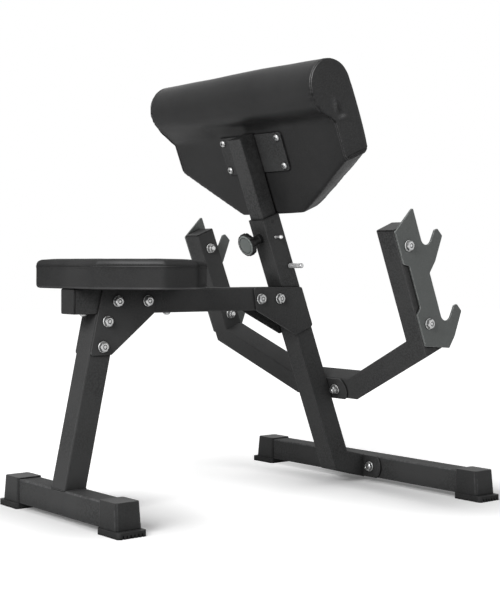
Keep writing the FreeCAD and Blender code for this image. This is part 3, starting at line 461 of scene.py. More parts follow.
class Workshop:
    """The loaded frame, and what every piece goes through on its way into the scene."""

    flat: float = math.radians(0.5)
    turning: float = math.radians(4)
    sharp: float = math.radians(32)

    def __init__(self, frame: dict) -> None:
        """Dress the nodes of the loaded frame.
        """
        self.nodes: dict[str, Object] = frame["nodes"]
        self.made: list[Object] = []
        for node in self.nodes.values():
            for place in node.material_slots:
                place.material = FINISHES[place.material.name].material()

    def copied(self, *names: str) -> BMesh:
        """Merged copy of one or more nodes.

        Args:
            names: the nodes to copy.

        Returns:
            One mesh with the doubles of the loose triangles merged.
        """
        mesh = bmesh.new()
        for name in names:
            mesh.from_mesh(self.nodes[name].data)
        bmesh.ops.remove_doubles(mesh, verts=mesh.verts, dist=1e-6)
        return mesh

    def flattened(self, name: str) -> BMesh:
        """Copy of a node with the triangles of each flat face joined.

        Args:
            name: the node.

        Returns:
            The mesh.
        """
        mesh = self.copied(name)
        bmesh.ops.dissolve_limit(mesh, angle_limit=self.flat, verts=mesh.verts, edges=mesh.edges)
        return mesh

    def solids(self, name: str, axes: Matrix) -> list[Box]:
        """Boxes of a node's separate solids.

        Args:
            name: the node.
            axes: the axes that the boxes are measured along.

        Returns:
            The lowest and highest corner of each solid, in those axes.
        """
        mesh = self.copied(name)
        mesh.transform(axes.inverted())
        waiting = set(mesh.verts)
        boxes = []
        while waiting:
            island, edge = set(), [waiting.pop()]
            while edge:
                vert = edge.pop()
                island.add(vert)
                near = {link.other_vert(vert) for link in vert.link_edges} & waiting
                waiting -= near
                edge.extend(near)
            low = Vector(min(vert.co[k] for vert in island) for k in range(3))
            high = Vector(max(vert.co[k] for vert in island) for k in range(3))
            boxes.append((low, high))
        mesh.free()
        return sorted(boxes, key=lambda box: tuple(round(value, 5) for value in box[0]))

    def piece(self, mesh: BMesh, name: str, finish: Finish, body: Body,
              stands_for: Iterable[str] = (), crease: float = 35.0) -> Object:
        """Turn a mesh into a piece of the bench.

        Args:
            mesh: the shape, in place, which is freed.
            name: the piece's name.
            finish: what it is made of.
            body: the body that it moves with.
            stands_for: the nodes that it replaces.
            crease: the angle in degrees from which an edge shades sharp.

        Returns:
            The new object.
        """
        data = bpy.data.meshes.new(name)
        mesh.to_mesh(data)
        mesh.free()
        data.polygons.foreach_set("use_smooth", [True] * len(data.polygons))
        data.set_sharp_from_angle(angle=math.radians(crease))
        data.materials.clear()
        data.materials.append(finish.material())
        made = linked(name, data)
        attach(made, body.value)
        if stands_for:
            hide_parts(*stands_for)
        self.made.append(made)
        return made

    def eased(self, node: str, finish: Finish, body: Body, width: float, narrow: float) -> None:
        """Replace a hard node by a copy with its sharp edges eased.

        Args:
            node: the node to copy and replace.
            finish: what it is made of.
            body: the body that it moves with.
            width: how far each edge is taken back.
            narrow: how narrow a face is that counts as a rim.
        """
        mesh = self.flattened(node)
        # Rim faces, the narrow arcs of rounded corners and the new bevels, take the rim colour: worn edges with a
        # painted highlight along them, and on the plugs a painted shadow line.
        rim = mesh.faces.layers.float.new("rim")
        for face in mesh.faces:
            sides = sorted(face.edges, key=lambda edge: edge.calc_length())[-2:]
            turns = all(edge.calc_face_angle(0.0) > self.turning for edge in sides)
            face[rim] = 1.0 if turns and face.calc_area() < sides[-1].calc_length() * narrow else 0.0
        edges = [edge for edge in mesh.edges if edge.is_manifold and edge.calc_face_angle(0.0) > self.sharp]
        if width:
            made = bmesh.ops.bevel(mesh, geom=edges, offset=width, offset_type="OFFSET", segments=2,
                                   profile=0.5, affect="EDGES", clamp_overlap=True, material=-1)
            for face in made["faces"]:
                face[rim] = 1.0
        bmesh.ops.triangulate(mesh, faces=[face for face in mesh.faces if len(face.verts) > 4])
        piece = self.piece(mesh, node + "_eased", finish, body, (node,), crease=50.0)
        piece.modifiers.new("flat_faces", "WEIGHTED_NORMAL").keep_sharp = True


def joined(target: BMesh, part: BMesh, place: Matrix) -> None:
    """Move a part to its place in a larger mesh, and free it.

    Args:
        target: the mesh that takes it.
        part: the shape about its own origin.
        place: where it goes.
    """
    part.transform(place)
    passing = bpy.data.meshes.new("passing")
    part.to_mesh(passing)
    part.free()
    target.from_mesh(passing)
    bpy.data.meshes.remove(passing)


def turned(profile: Sequence[Pair], steps: int, closed: bool = False) -> BMesh:
    """Shape turned about Z.

    Args:
        profile: radius and height of the profile's points.
        steps: faces round the axis.
        closed: whether the profile's last point joins its first.

    Returns:
        The turned mesh with its normals outwards.
    """
    mesh = bmesh.new()
    verts = [mesh.verts.new((radius, 0.0, height)) for radius, height in profile]
    pairs = list(zip(verts, verts[1:])) + ([(verts[-1], verts[0])] if closed else [])
    edges = [mesh.edges.new(pair) for pair in pairs]
    bmesh.ops.spin(mesh, geom=verts + edges, cent=(0, 0, 0), axis=(0, 0, 1), dvec=(0, 0, 0), angle=2 * math.pi,
                   steps=steps, use_merge=True, use_duplicate=False)
    bmesh.ops.remove_doubles(mesh, verts=mesh.verts, dist=1e-7)
    bmesh.ops.recalc_face_normals(mesh, faces=mesh.faces)
    return mesh


def six_sided(mesh: BMesh, across: float) -> None:
    """Cut six flats on a turned shape.

    Args:
        mesh: the turned shape.
        across: the size across the flats.
    """
    for side in range(6):
        outward = Vector((math.cos(side * math.pi / 3), math.sin(side * math.pi / 3), 0.0))
        cut = bmesh.ops.bisect_plane(mesh, geom=mesh.verts[:] + mesh.edges[:] + mesh.faces[:], dist=1e-7,
                                     plane_co=outward * across / 2, plane_no=outward, clear_outer=True)
        rim = [item for item in cut["geom_cut"] if isinstance(item, BMEdge)]
        bmesh.ops.edgenet_fill(mesh, edges=rim)
    bmesh.ops.recalc_face_normals(mesh, faces=mesh.faces)


def chains(edges: list[BMEdge], shortest: float = 0.008) -> list[list[Vector]]:
    """Join loose edges end to end.

    Args:
        edges: the edges.
        shortest: the length that a line has to pass.

    Returns:
        Lines of points.
    """
    links: dict[BMVert, list[BMVert]] = {}
    for edge in edges:
        first, second = edge.verts
        links.setdefault(first, []).append(second)
        links.setdefault(second, []).append(first)
    lines = []
    while links:
        start = next((vert for vert, near in links.items() if len(near) == 1), next(iter(links)))
        line, vert = [start.co.copy()], start
        while links.get(vert):
            after = links[vert].pop()
            links[after].remove(vert)
            line.append(after.co.copy())
            vert = after
        links = {vert: near for vert, near in links.items() if near}
        lines.append(line)
    return [line for line in lines if sum((b - a).length for a, b in zip(line, line[1:])) > shortest]


def piped(lines: list[list[tuple[Vector, float]]], radius: float, rounds: int) -> BMesh:
    """Round strips along lines.

    Args:
        lines: for each line its points, each with its share of the radius.
        radius: the strips' radius.
        rounds: how finely their section is rounded.

    Returns:
        One mesh of all the strips.
    """
    curve = bpy.data.curves.new("strip", "CURVE")
    curve.dimensions = "3D"
    curve.bevel_depth = radius
    curve.bevel_resolution = rounds
    curve.use_fill_caps = True
    for line in lines:
        spline = curve.splines.new("POLY")
        spline.use_cyclic_u = (line[0][0] - line[-1][0]).length < radius
        line = line[1:] if spline.use_cyclic_u else line
        spline.points.add(len(line) - 1)
        for (point, share), made in zip(line, spline.points):
            made.co = (*point, 1.0)
            made.radius = share
    holder = bpy.data.objects.new("strip", curve)
    shape = bpy.data.meshes.new_from_object(holder)
    bpy.data.objects.remove(holder)
    bpy.data.curves.remove(curve)
    mesh = bmesh.new()
    mesh.from_mesh(shape)
    bpy.data.meshes.remove(shape)
    return mesh


@dataclass
class Fastenings:
    """Bolts, washers, nuts and screws of the bench."""

    shop: Workshop
    across: float = 0.016
    corner: float = 0.0092
    head: float = 0.0065
    dish: float = 0.0016
    turn_step: float = math.radians(37)
    shank: float = 0.0049
    thread_pitch: float = 0.0015
    threaded: float = 0.014
    screw_head: float = 0.007
    screw_height: float = 0.005
    socket: float = 0.0028
    peg_dark: float = 3.0

    def thread(self, radius: float, start: float, end: float) -> list[Pair]:
        """Profile of a threaded length.

        Args:
            radius: over the crests.
            start: height of its first crest.
            end: height of its end, below the start.

        Returns:
            Profile points from start to end.
        """
        root = radius - 0.6 * self.thread_pitch
        turns = max(2, int((start - end) / self.thread_pitch))
        points = []
        for turn in range(turns):
            height = start - turn * self.thread_pitch
            points += [(radius, height), (root, height - self.thread_pitch / 2)]
        return points + [(root, end + 0.0006), (root - 0.0006, end), (0.0, end)]

    def bolt(self, length: float) -> BMesh:
        """Hexagon bolt, its head's underside at the origin and its shank down.

        Args:
            length: from the head's underside to the end of the thread.

        Returns:
            The mesh.
        """
        flat, top = self.across / 2, self.head
        head = turned([(0.0, top - 0.0005), (0.0026, top - 0.0005), (0.003, top - 0.0007), (0.0034, top - self.dish),
                       (0.004, top - self.dish), (0.0044, top - 0.0003), (0.0048, top),
                       (flat * 0.76, top), (flat * 0.84, top - 0.0003), (self.corner, top - 0.0021),
                       (self.corner, 0.0004), (flat * 0.98, 0.0), (0.0, 0.0)], 48)
        six_sided(head, self.across)
        shank = turned([(0.0, 0.0005), (self.shank, 0.0005), (self.shank, self.threaded - length)]
                       + self.thread(self.shank, self.threaded - length - 0.0004, -length), 24)
        joined(head, shank, UPRIGHT)
        return head

    def nut(self, height: float) -> BMesh:
        """Locking nut with a rolled collar, standing on the origin.

        Args:
            height: over its collar.

        Returns:
            The mesh.
        """
        bore, flat, hexagon = self.shank + 0.0002, self.across / 2, height * 0.7
        mesh = turned([(bore, 0.0), (flat * 0.96, 0.0), (self.corner, 0.001), (self.corner, hexagon - 0.001),
                       (flat * 0.9, hexagon), (0.0074, hexagon + 0.0002), (0.0072, height - 0.0008),
                       (0.0066, height), (0.0058, height - 0.0003), (bore, height - 0.0006)], 48, closed=True)
        six_sided(mesh, self.across)
        return mesh

    def washer(self, radius: float, thickness: float) -> BMesh:
        """Flat washer with eased rims, standing on the origin.

        Args:
            radius: of its outside.
            thickness: of its plate.

        Returns:
            The mesh.
        """
        bore, ease = self.shank + 0.0004, 0.0004
        return turned([(bore, ease), (bore + ease, 0.0), (radius - ease, 0.0), (radius, ease),
                       (radius, thickness - ease), (radius - ease, thickness), (bore + ease, thickness),
                       (bore, thickness - ease)], 40, closed=True)

    def screw(self, length: float) -> BMesh:
        """Domed socket screw, its head's underside at the origin and its shank down.

        Args:
            length: from the head's underside to its end.

        Returns:
            The mesh.
        """
        top, rim = self.screw_height, self.screw_head
        mesh = turned([(self.socket, top), (rim * 0.62, top - 0.0005), (rim * 0.88, top - 0.0018), (rim, top - 0.0034),
                       (rim, 0.0005), (rim - 0.0005, 0.0), (0.0, 0.0)], 36)
        hole = [edge for edge in mesh.edges if edge.is_boundary]
        sunk = bmesh.ops.extrude_edge_only(mesh, edges=hole)
        low = [item for item in sunk["geom"] if isinstance(item, BMVert)]
        bmesh.ops.translate(mesh, verts=low, vec=(0, 0, -0.0024))
        for vert in low:
            angle = math.atan2(vert.co.y, vert.co.x)
            flat = math.cos(math.pi / 6) / math.cos((angle + math.pi / 6) % (math.pi / 3) - math.pi / 6)
            vert.co.xy = Vector((math.cos(angle), math.sin(angle))) * self.socket * flat
        bmesh.ops.edgenet_fill(mesh, edges=[edge for edge in mesh.edges if edge.is_boundary])
        shank = turned([(0.0, 0.0005), (0.0039, 0.0005)] + self.thread(0.0039, -0.002, -length), 20)
        joined(mesh, shank, UPRIGHT)
        bmesh.ops.recalc_face_normals(mesh, faces=mesh.faces)
        return mesh

    def seat(self, box: Box, axis: int, side: int, depth: float, axes: Matrix) -> Matrix:
        """Where a fastener goes.

        Args:
            box: corners of its solid.
            axis: the axis that it lies along.
            side: 1 where its head is at the high end, -1 at the low end.
            depth: from the head's end of the solid to the fastener's own origin.
            axes: the axes that the box is measured in.

        Returns:
            The matrix that turns +Z to the head's side and moves the fastener there.
        """
        middle = (box[0] + box[1]) / 2
        outward = Vector((0.0, 0.0, 0.0))
        outward[axis] = side
        middle[axis] = (box[1] if side > 0 else box[0])[axis] - side * depth
        spun = Matrix.Rotation(self.turn_step * round(sum(middle) * 1000), 4, "Z")
        return axes @ Matrix.Translation(middle) @ outward.to_track_quat("Z", "Y").to_matrix().to_4x4() @ spun

    def row(self, name: str, axis: int, side: int, axes: Matrix, mirrored: bool = False) -> None:
        """Make one joint's bolts, nuts and washers.

        Args:
            name: the joint's name at the start of its nodes' names.
            axis: the axis that the bolts lie along.
            side: 1 where the heads are at the high end, -1 at the low end.
            axes: the post's axes or the part's.
            mirrored: whether the heads are at the other end on the left.
        """
        for kind, ending, finish in ((Hardware.BOLTS, "hex_bolts", ZINC), (Hardware.NUTS, "lock_nuts", ZINC),
                                     (Hardware.WASHERS, "flat_washers", DULL_ZINC)):
            mesh, node = bmesh.new(), f"{name}_{kind.value}"
            for box in self.shop.solids(node, axes):
                size = box[1] - box[0]
                long, head = size[axis], -side if mirrored and box[0].x <= 0 else side
                if kind is Hardware.BOLTS:
                    part, way, depth = self.bolt(long - self.head), head, self.head
                elif kind is Hardware.NUTS:
                    part, way, depth = self.nut(long), -head, long
                else:
                    part, way, depth = self.washer(max(size) / 2, long), side, long
                joined(mesh, part, self.seat(box, axis, way, depth, axes))
            self.shop.piece(mesh, f"{name}_{ending}", finish, Body.FRAME, (node,))

    def screws(self, node: str, axis: int, axes: Matrix, body: Body) -> None:
        """Make one joint's domed screws, whose heads are at the low end.

        Args:
            node: the screws' node.
            axis: the axis that they lie along.
            axes: the post's axes or the part's.
            body: the body that they move with.
        """
        mesh = bmesh.new()
        for box in self.shop.solids(node, axes):
            length = (box[1] - box[0])[axis] - self.screw_height
            joined(mesh, self.screw(length), self.seat(box, axis, -1, self.screw_height, axes))
        self.shop.piece(mesh, node + "_domed", ZINC, body, (node,))

    def build(self) -> None:
        """Make every fastening of the bench."""
        self.row("seat_gusset", 0, 1, UPRIGHT)
        self.row("post_gusset", 0, 1, UPRIGHT)
        self.row("base", 1, -1, UPRIGHT)
        self.row("rack", 1, 1, POST)
        self.row("hook", 0, 1, POST, mirrored=True)
        self.screws("pad_screws", 1, POST, Body.PAD)
        self.screws("seat_bolts", 2, UPRIGHT, Body.FRAME)
        self.pegs()

    def pegs(self) -> None:
        """Turn the two pegs on the post's side, the shorter with a ball end and the longer with a grooved neck."""
        mesh = bmesh.new()
        mesh.faces.layers.float.new("rim")
        boxes = self.shop.solids("side_pegs", POST)
        for box in boxes:
            radius, length = (box[1].y - box[0].y) / 2, box[1].x - box[0].x
            ball = length < max(other[1].x - other[0].x for other in boxes)
            joined(mesh, self.ball_peg(radius, length) if ball else self.neck_peg(radius, length),
                   self.seat(box, 0, 1, length, POST))
        self.shop.piece(mesh, "turned_pegs", PEG, Body.FRAME, ("side_pegs",))

    def ball_peg(self, radius: float, length: float) -> BMesh:
        """Slim dark stem with a bright ball end.

        Args:
            radius: the ball's radius.
            length: from the foot to the end.

        Returns:
            The peg upright on its foot, with its stem marked as rim.
        """
        ball = [(radius * math.cos(turn), length - radius + radius * math.sin(turn))
                for turn in (math.radians(step) for step in range(-50, 90, 20))]
        peg = turned([(0.0, 0.0), (radius * 0.8, 0.0), (radius * 0.55, 0.0015),
                      (radius * 0.6, length - radius * 1.8), *ball, (0.0, length)], 32)
        stem = length - radius * 1.75
        marked(peg, lambda middle, _: self.peg_dark if middle.z < stem else 0.0)
        return peg

    def neck_peg(self, radius: float, length: float) -> BMesh:
        """Bright round peg with painted shade in the groove at its neck and on its end.

        Args:
            radius: the peg's radius.
            length: from the foot to the end.

        Returns:
            The peg upright on its foot, with the groove and the end marked as rim.
        """
        neck, dome, collar, foot = radius * 0.74, radius * 0.5, 0.0016, 0.0045
        peg = turned([(0.0, 0.0), (radius, 0.0), (radius, collar), (neck, collar + 0.0004), (neck, foot - 0.0004),
                      (radius, foot), (radius, length - dome * 1.7), (radius * 0.98, length - dome),
                      (radius * 0.86, length - dome * 0.4), (radius * 0.62, length), (radius * 0.3, length),
                      (0.0, length)], 32)
        marked(peg, lambda middle, _: self.peg_dark if collar < middle.z < foot - 0.0002
               or middle.z > length - dome else 0.0)
        return peg


@dataclass
class Weldments:
    """Plates, hooks, plugs, feet and knob with eased edges, and the weld beads between the tubes.

    Each seam is the node whose edges the bead follows, the node that they lie on, how far off it they may be, and how
    long a line is, as a share of the longest, that gets a bead.
    """

    shop: Workshop
    plate_edge: float = 0.0006
    hook_edge: float = 0.0007
    rim: float = 0.0016
    # Wider reach of the plugs' rim faces, which carry their painted shadow line.
    plug_rim: float = 0.004
    disc_ring: float = 0.0034
    barrel_waist: float = 0.0013
    barrel_ring: Pair = (0.008, 0.0108)
    bead: float = 0.0012
    bead_turn: float = math.radians(25)
    ripple: float = 0.0022
    plates: tuple[str, ...] = ("seat_gusset_left", "seat_gusset_right", "post_gusset_left", "post_gusset_right",
                               "base_plate", "rack_plate")
    tubes: tuple[str, ...] = ("rear_base_tube", "front_base_tube", "seat_leg", "main_beam", "main_post",
                              "post_foot_stub", "rack_crossbar", "rack_arm_left", "rack_arm_right",
                              "rack_upright_left", "rack_upright_right")
    hooks: tuple[str, ...] = ("bar_hook_left", "bar_hook_right")
    plugs: tuple[str, ...] = ("rack_plug_left", "rack_plug_right")
    feet: tuple[str, ...] = ("rear_foot_left", "rear_foot_right", "front_foot_left", "front_foot_right")
    seams: tuple[tuple[str, str, float, float], ...] = (
        ("seat_leg", "rear_base_tube", 0.0032, 0.0), ("post_foot_stub", "base_plate", 0.0006, 0.0),
        ("pin_barrel", "main_post", 0.0006, 0.8))

    def build(self) -> None:
        """Ease the plates, hooks, plugs, feet and knob, and lay the beads."""
        for nodes, finish, body, edge, rim in (
                (self.plates, POWDER, Body.FRAME, self.plate_edge, self.rim),
                (("pad_plate",), POWDER, Body.PAD, self.plate_edge, self.rim),
                (self.tubes, POWDER, Body.FRAME, 0.0, self.rim),
                (("pad_post",), PAD_POST_LIT_COAT, Body.PAD, 0.0, 0.0),
                (self.hooks, HOOK_COAT, Body.FRAME, self.hook_edge, self.rim),
                (("beam_plug",), BEAM_PLUG, Body.FRAME, self.plate_edge, self.plug_rim),
                (self.plugs, PLUG, Body.FRAME, self.plate_edge, self.plug_rim),
                (self.feet, MOULDED, Body.FRAME, self.plate_edge, self.rim),
                (("pin_knob",), KNOB, Body.PIN, self.hook_edge, self.rim)):
            for node in nodes:
                self.shop.eased(node, finish, body, edge, rim)
        self.disc()
        self.barrel()
        for seam in self.seams:
            self.bead_along(*seam)

    def disc(self) -> None:
        """Turn the knob's disc with a sloping rim painted lighter as a highlight, and a fine groove inside it."""
        box = self.shop.solids("knob_disc", POST)[0]
        radius, deep = (box[1].x - box[0].x) / 2, box[1].y - box[0].y
        ring = radius - self.disc_ring
        mesh = turned([(0.0, 0.0), (radius, 0.0), (radius, deep - 0.0004), (radius - 0.0006, deep + 0.0002),
                       (ring, deep + 0.0011), (ring - 0.0002, deep - 0.0004), (ring - 0.0011, deep - 0.0004),
                       (ring - 0.0013, deep + 0.0007), (radius * 0.4, deep + 0.0010), (0.0, deep + 0.0011)], 64)
        marked(mesh, lambda middle, _: 1.0 if middle.xy.length > ring and middle.z > deep * 0.6 else 0.0)
        mesh.transform(Fastenings(self.shop).seat(box, 1, -1, deep, POST))
        self.shop.piece(mesh, "knob_face_disc", DISC, Body.PIN, ("knob_disc",))

    def barrel(self) -> None:
        """Turn the pin's barrel with a waist where it stands on the post and a ring at its shoulder painted lighter as
        a highlight.
        """
        box = self.shop.solids("pin_barrel", POST)[0]
        radius, length = (box[1].x - box[0].x) / 2, box[1].y - box[0].y
        waist, bore, (low, high) = radius - self.barrel_waist, radius - 0.002, self.barrel_ring
        mesh = turned([(bore, 0.0), (waist, 0.0), (waist, low - 0.0005), (radius - 0.0003, low),
                       (radius, low + 0.0003), (radius, high - 0.0003), (radius - 0.0004, high),
                       (radius - 0.0004, length - 0.0008), (radius - 0.0012, length), (0.0045, length),
                       (0.0045, length - 0.004), (bore, length - 0.0044)], 40, closed=True)
        marked(mesh, lambda middle, _: 1.0 if low < middle.z < high else 0.0)
        mesh.transform(Fastenings(self.shop).seat(box, 1, -1, length, POST))
        self.shop.piece(mesh, "pin_barrel_turned", KNOB, Body.FRAME, ("pin_barrel",))

    def bead_along(self, first: str, second: str, reach: float, share: float) -> None:
        """Lay a bead where one node's edges lie on another.

        Args:
            first: the node whose edges are followed.
            second: the node that they lie on.
            reach: how far off it an edge may be.
            share: how long a line has to be, as a share of the longest.
        """
        base = self.shop.copied(second)
        tree = BVHTree.FromBMesh(base)
        base.free()
        mesh = self.shop.flattened(first)
        near = {vert for vert in mesh.verts if (tree.find_nearest(vert.co)[3] or 0.0) < reach}
        lines = chains([edge for edge in mesh.edges
                        if set(edge.verts) <= near and edge.calc_face_angle(0.0) > self.bead_turn
                        and (tree.find_nearest((edge.verts[0].co + edge.verts[1].co) / 2)[3] or 0.0) < reach])
        mesh.free()
        spans = [max((point - line[0]).length for point in line) for line in lines]
        least = max(spans) * share
        made = piped([self.rippled(line) for line, span in zip(lines, spans) if span > least], self.bead, 1)
        self.shop.piece(made, f"bead_{first}_{second}", POWDER, Body.FRAME, crease=80.0)

    def rippled(self, line: list[Vector]) -> list[tuple[Vector, float]]:
        """Points of one bead, its width rising and falling with each pass of the torch.

        Args:
            line: the points that the bead follows.

        Returns:
            Each point with its share of the bead's radius.
        """
        points, step = [line[0]], self.ripple / 2
        for first, second in zip(line, line[1:]):
            count = max(1, round((second - first).length / step))
            points += [first.lerp(second, (k + 1) / count) for k in range(count)]
        return [(point, (1.0 if place % 2 else 0.82) + 0.16 * noise.noise(point * 90.0))
                for place, point in enumerate(points)]


@dataclass
class Cushion:
    """A covered foam cushion, swollen by a cloth simulation from a slightly smaller start.

    It is shaped in its own axes, in which its flat faces lie square.
    """

    shop: Workshop
    name: str
    nodes: tuple[str, ...]
    stands_for: tuple[str, ...]
    body: Body
    finish: Finish = VINYL
    voxel: float = 0.0034
    shrink: float = 0.0008
    settle: int = 1
    cap: float = 0.0013
    evening: int = 14
    quality: int = 4
    pressure: float = 4.0
    stiffness: float = 25.0
    bending: float = 2.0
    frames: int = 20
    fill: float = 0.85
    welt: float = 0.0011
    welt_step: float = 0.006
    stitch_length: float = 0.0042
    stitch_pitch: float = 0.0056
    stitch_radius: float = 0.00042

    def axes(self) -> Matrix:
        """Matrix from the cushion's axes to the part's."""
        return UPRIGHT

    def held(self, point: Vector, normal: Vector) -> bool:
        """Whether the cover can't move at this point of the start shape."""
        raise NotImplementedError

    def shaped(self, point: Vector, normal: Vector) -> float:
        """How far the cover stands out along its normal at this point, beyond its swollen shape."""
        raise NotImplementedError

    def painted_light(self, point: Vector, normal: Vector) -> float:
        """How much painted highlight the cover has at this point, or painted shade below nought."""
        raise NotImplementedError

    def wear_and_painted_light(self, point: Vector) -> float:
        """How much painted highlight a welt has at this point."""
        raise NotImplementedError

    def seam_planes(self) -> list[Plane]:
        """Planes, each a point and a normal, that the rows of stitches lie in."""
        raise NotImplementedError

    def welt_planes(self) -> list[Plane]:
        """Planes, each a point and a normal, that the welts along the seams lie in."""
        raise NotImplementedError

    def drawn(self, point: Vector) -> Vector:
        """How the seams draw the cover aside at this point."""
        return Vector((0.0, 0.0, 0.0))

    def relax(self, mesh: BMesh) -> None:
        """Ease the cover where its foam bridges a hollow."""

    @staticmethod
    def baked(source: Object) -> bpy.types.Mesh:
        """Mesh of an object with its modifiers applied.

        Args:
            source: the object.

        Returns:
            A new mesh.
        """
        bpy.context.view_layer.update()
        graph = bpy.context.evaluated_depsgraph_get()
        return bpy.data.meshes.new_from_object(source.evaluated_get(graph))

    def start(self) -> Object:
        """Remeshed start shape, drawn in a little.

        Returns:
            An object with even quads and a group of its held points.
        """
        mesh = self.shop.copied(*self.nodes)
        mesh.transform(self.axes().inverted())
        data = bpy.data.meshes.new(self.name)
        mesh.to_mesh(data)
        mesh.free()
        holder = linked(self.name, data)
        remesh = holder.modifiers.new("even", "REMESH")
        remesh.mode = "VOXEL"
        remesh.voxel_size = self.voxel
        even = self.baked(holder)
        holder.modifiers.clear()
        holder.data = even
        mesh = bmesh.new()
        mesh.from_mesh(even)
        smoothed(mesh, mesh.verts, self.settle)
        mesh.normal_update()
        moves = [(vert, vert.normal * self.shrink) for vert in mesh.verts if not self.held(vert.co, vert.normal)]
        for vert, move in moves:
            vert.co -= move
        mesh.to_mesh(even)
        mesh.free()
        group = holder.vertex_groups.new(name="held")
        group.add([vert.index for vert in even.vertices if self.held(vert.co, vert.normal)], 1.0, "REPLACE")
        return holder

    def swell(self, holder: Object) -> None:
        """Blow the start shape up against its held points, within the cap.

        Args:
            holder: the start shape, whose mesh is replaced.
        """
        before = [(vert.co.copy(), vert.normal.copy()) for vert in holder.data.vertices]
        cloth = holder.modifiers.new("cover", "CLOTH")
        settings, touching, cache = cloth.settings, cloth.collision_settings, cloth.point_cache
        settings.quality = self.quality
        settings.use_pressure = True
        settings.uniform_pressure_force = self.pressure
        settings.vertex_group_mass = "held"
        settings.tension_stiffness = settings.compression_stiffness = self.stiffness
        settings.bending_stiffness = self.bending
        settings.effector_weights.gravity = 0.0
        touching.use_collision = touching.use_self_collision = False
        cache.frame_start, cache.frame_end = 1, self.frames
        scene = bpy.context.scene
        for frame in range(1, self.frames + 1):
            scene.frame_set(frame)
        swollen = self.baked(holder)
        holder.modifiers.clear()
        scene.frame_set(1)
        rises = [min(self.cap, max(0.0, (vert.co - old).dot(normal)))
                 for vert, (old, normal) in zip(swollen.vertices, before)]
        for vert, (old, normal), rise in zip(swollen.vertices, before, self.evened(swollen, rises)):
            vert.co = old + normal * rise
        holder.data = swollen

    def evened(self, mesh: bpy.types.Mesh, values: list[float]) -> list[float]:
        """Values of a mesh's points, spread among their neighbours.

        Args:
            mesh: the mesh.
            values: one value a point.

        Returns:
            The evened values.
        """
        near: list[list[int]] = [[] for _ in values]
        for edge in mesh.edges:
            first, second = edge.vertices
            near[first].append(second)
            near[second].append(first)
        for _ in range(self.evening):
            values = [(values[k] + sum(values[j] for j in near[k])) / (1 + len(near[k])) for k in range(len(values))]
        return values

    def build(self) -> None:
        """Make the cushion, its seams and its stitches."""
        holder = self.start()
        self.swell(holder)
        smooth = holder.modifiers.new("fine", "SUBSURF")
        smooth.levels = smooth.render_levels = 1
        fine = self.baked(holder)
        bpy.data.objects.remove(holder)
        mesh = bmesh.new()
        mesh.from_mesh(fine)
        bpy.data.meshes.remove(fine)
        mesh.normal_update()
        moves = [(vert, vert.normal * self.shaped(vert.co, vert.normal) + self.drawn(vert.co)) for vert in mesh.verts]
        for vert, move in moves:
            vert.co += move
        self.relax(mesh)
        bmesh.ops.recalc_face_normals(mesh, faces=mesh.faces)
        # Rim marks on the cover: painted highlights above nought, painted shade below.
        marked(mesh, self.painted_light)
        thread, welts = self.stitches(mesh), self.welts(mesh)
        for part in (mesh, thread, welts):
            part.transform(self.axes())
        cover = self.shop.piece(mesh, self.name, self.finish, self.body, self.stands_for, crease=180.0)
        self.shop.piece(thread, self.name + "_stitches", THREAD, self.body, crease=180.0)
        self.shop.piece(welts, self.name + "_welts", self.finish, self.body, crease=180.0)

    @staticmethod
    def sections(cover: BMesh, planes: Iterable[Plane]) -> list[list[Vector]]:
        """Lines in which planes cut the cover.

        Args:
            cover: the cover's mesh.
            planes: the planes, each a point and a normal.

        Returns:
            Lines of points.
        """
        lines = []
        for point, normal in planes:
            ring = cover.copy()
            cut = bmesh.ops.bisect_plane(ring, geom=ring.verts[:] + ring.edges[:] + ring.faces[:], dist=1e-7,
                                         plane_co=point, plane_no=normal)
            lines += chains([item for item in cut["geom_cut"] if isinstance(item, BMEdge)])
            ring.free()
        return lines

    def welts(self, cover: BMesh) -> BMesh:
        """Thin round welts along the seams of the finished cover.

        Args:
            cover: the cover's mesh.

        Returns:
            A mesh of all its welts.
        """
        lines = []
        tree = BVHTree.FromBMesh(cover)
        for line in self.sections(cover, self.welt_planes()):
            spaced, gone = [line[0]], 0.0
            for first, second in zip(line, line[1:]):
                gone += (second - first).length
                if gone >= self.welt_step:
                    spaced.append(second)
                    gone = 0.0
            if (spaced[-1] - line[-1]).length > self.welt_step / 3:
                spaced.append(line[-1])
            lines.append([(place + tree.find_nearest(place)[1] * self.welt / 3, 0.4 + 0.6 * self.wear_and_painted_light(place))
                          for place in spaced])
        made = piped(lines, self.welt, 3)
        # Rim marks on the welts: their painted highlights.
        marked(made, lambda middle, _: self.wear_and_painted_light(middle))
        return made

    def stitches(self, cover: BMesh) -> BMesh:
        """Rows of stitches on the finished cover.

        Args:
            cover: the cover's mesh.

        Returns:
            A mesh of all its stitches.
        """
        made = bmesh.new()
        tree = BVHTree.FromBMesh(cover)
        for line in self.sections(cover, self.seam_planes()):
            self.sew(made, tree, line)
        return made

    def sew(self, made: BMesh, tree: BVHTree, line: list[Vector]) -> None:
        """Sew one row.

        Args:
            made: the mesh that takes the stitches.
            tree: the cover's surface.
            line: the row's points on the cover.
        """
        travelled, due = 0.0, 0.0
        for first, second in zip(line, line[1:]):
            run = (second - first).length
            while run and due < travelled + run:
                point = first.lerp(second, (due - travelled) / run)
                spot, outward, _, _ = tree.find_nearest(point)
                along = (second - first).normalized()
                across = outward.cross(along)
                place = Matrix((along, across, outward)).transposed().to_4x4()
                place.translation = spot
                stitch = bmesh.new()
                bmesh.ops.create_icosphere(stitch, subdivisions=1, radius=1.0)
                bmesh.ops.scale(stitch, verts=stitch.verts,
                                vec=(self.stitch_length / 2, self.stitch_radius, self.stitch_radius))
                joined(made, stitch, place)
                due += self.stitch_pitch
            travelled += run


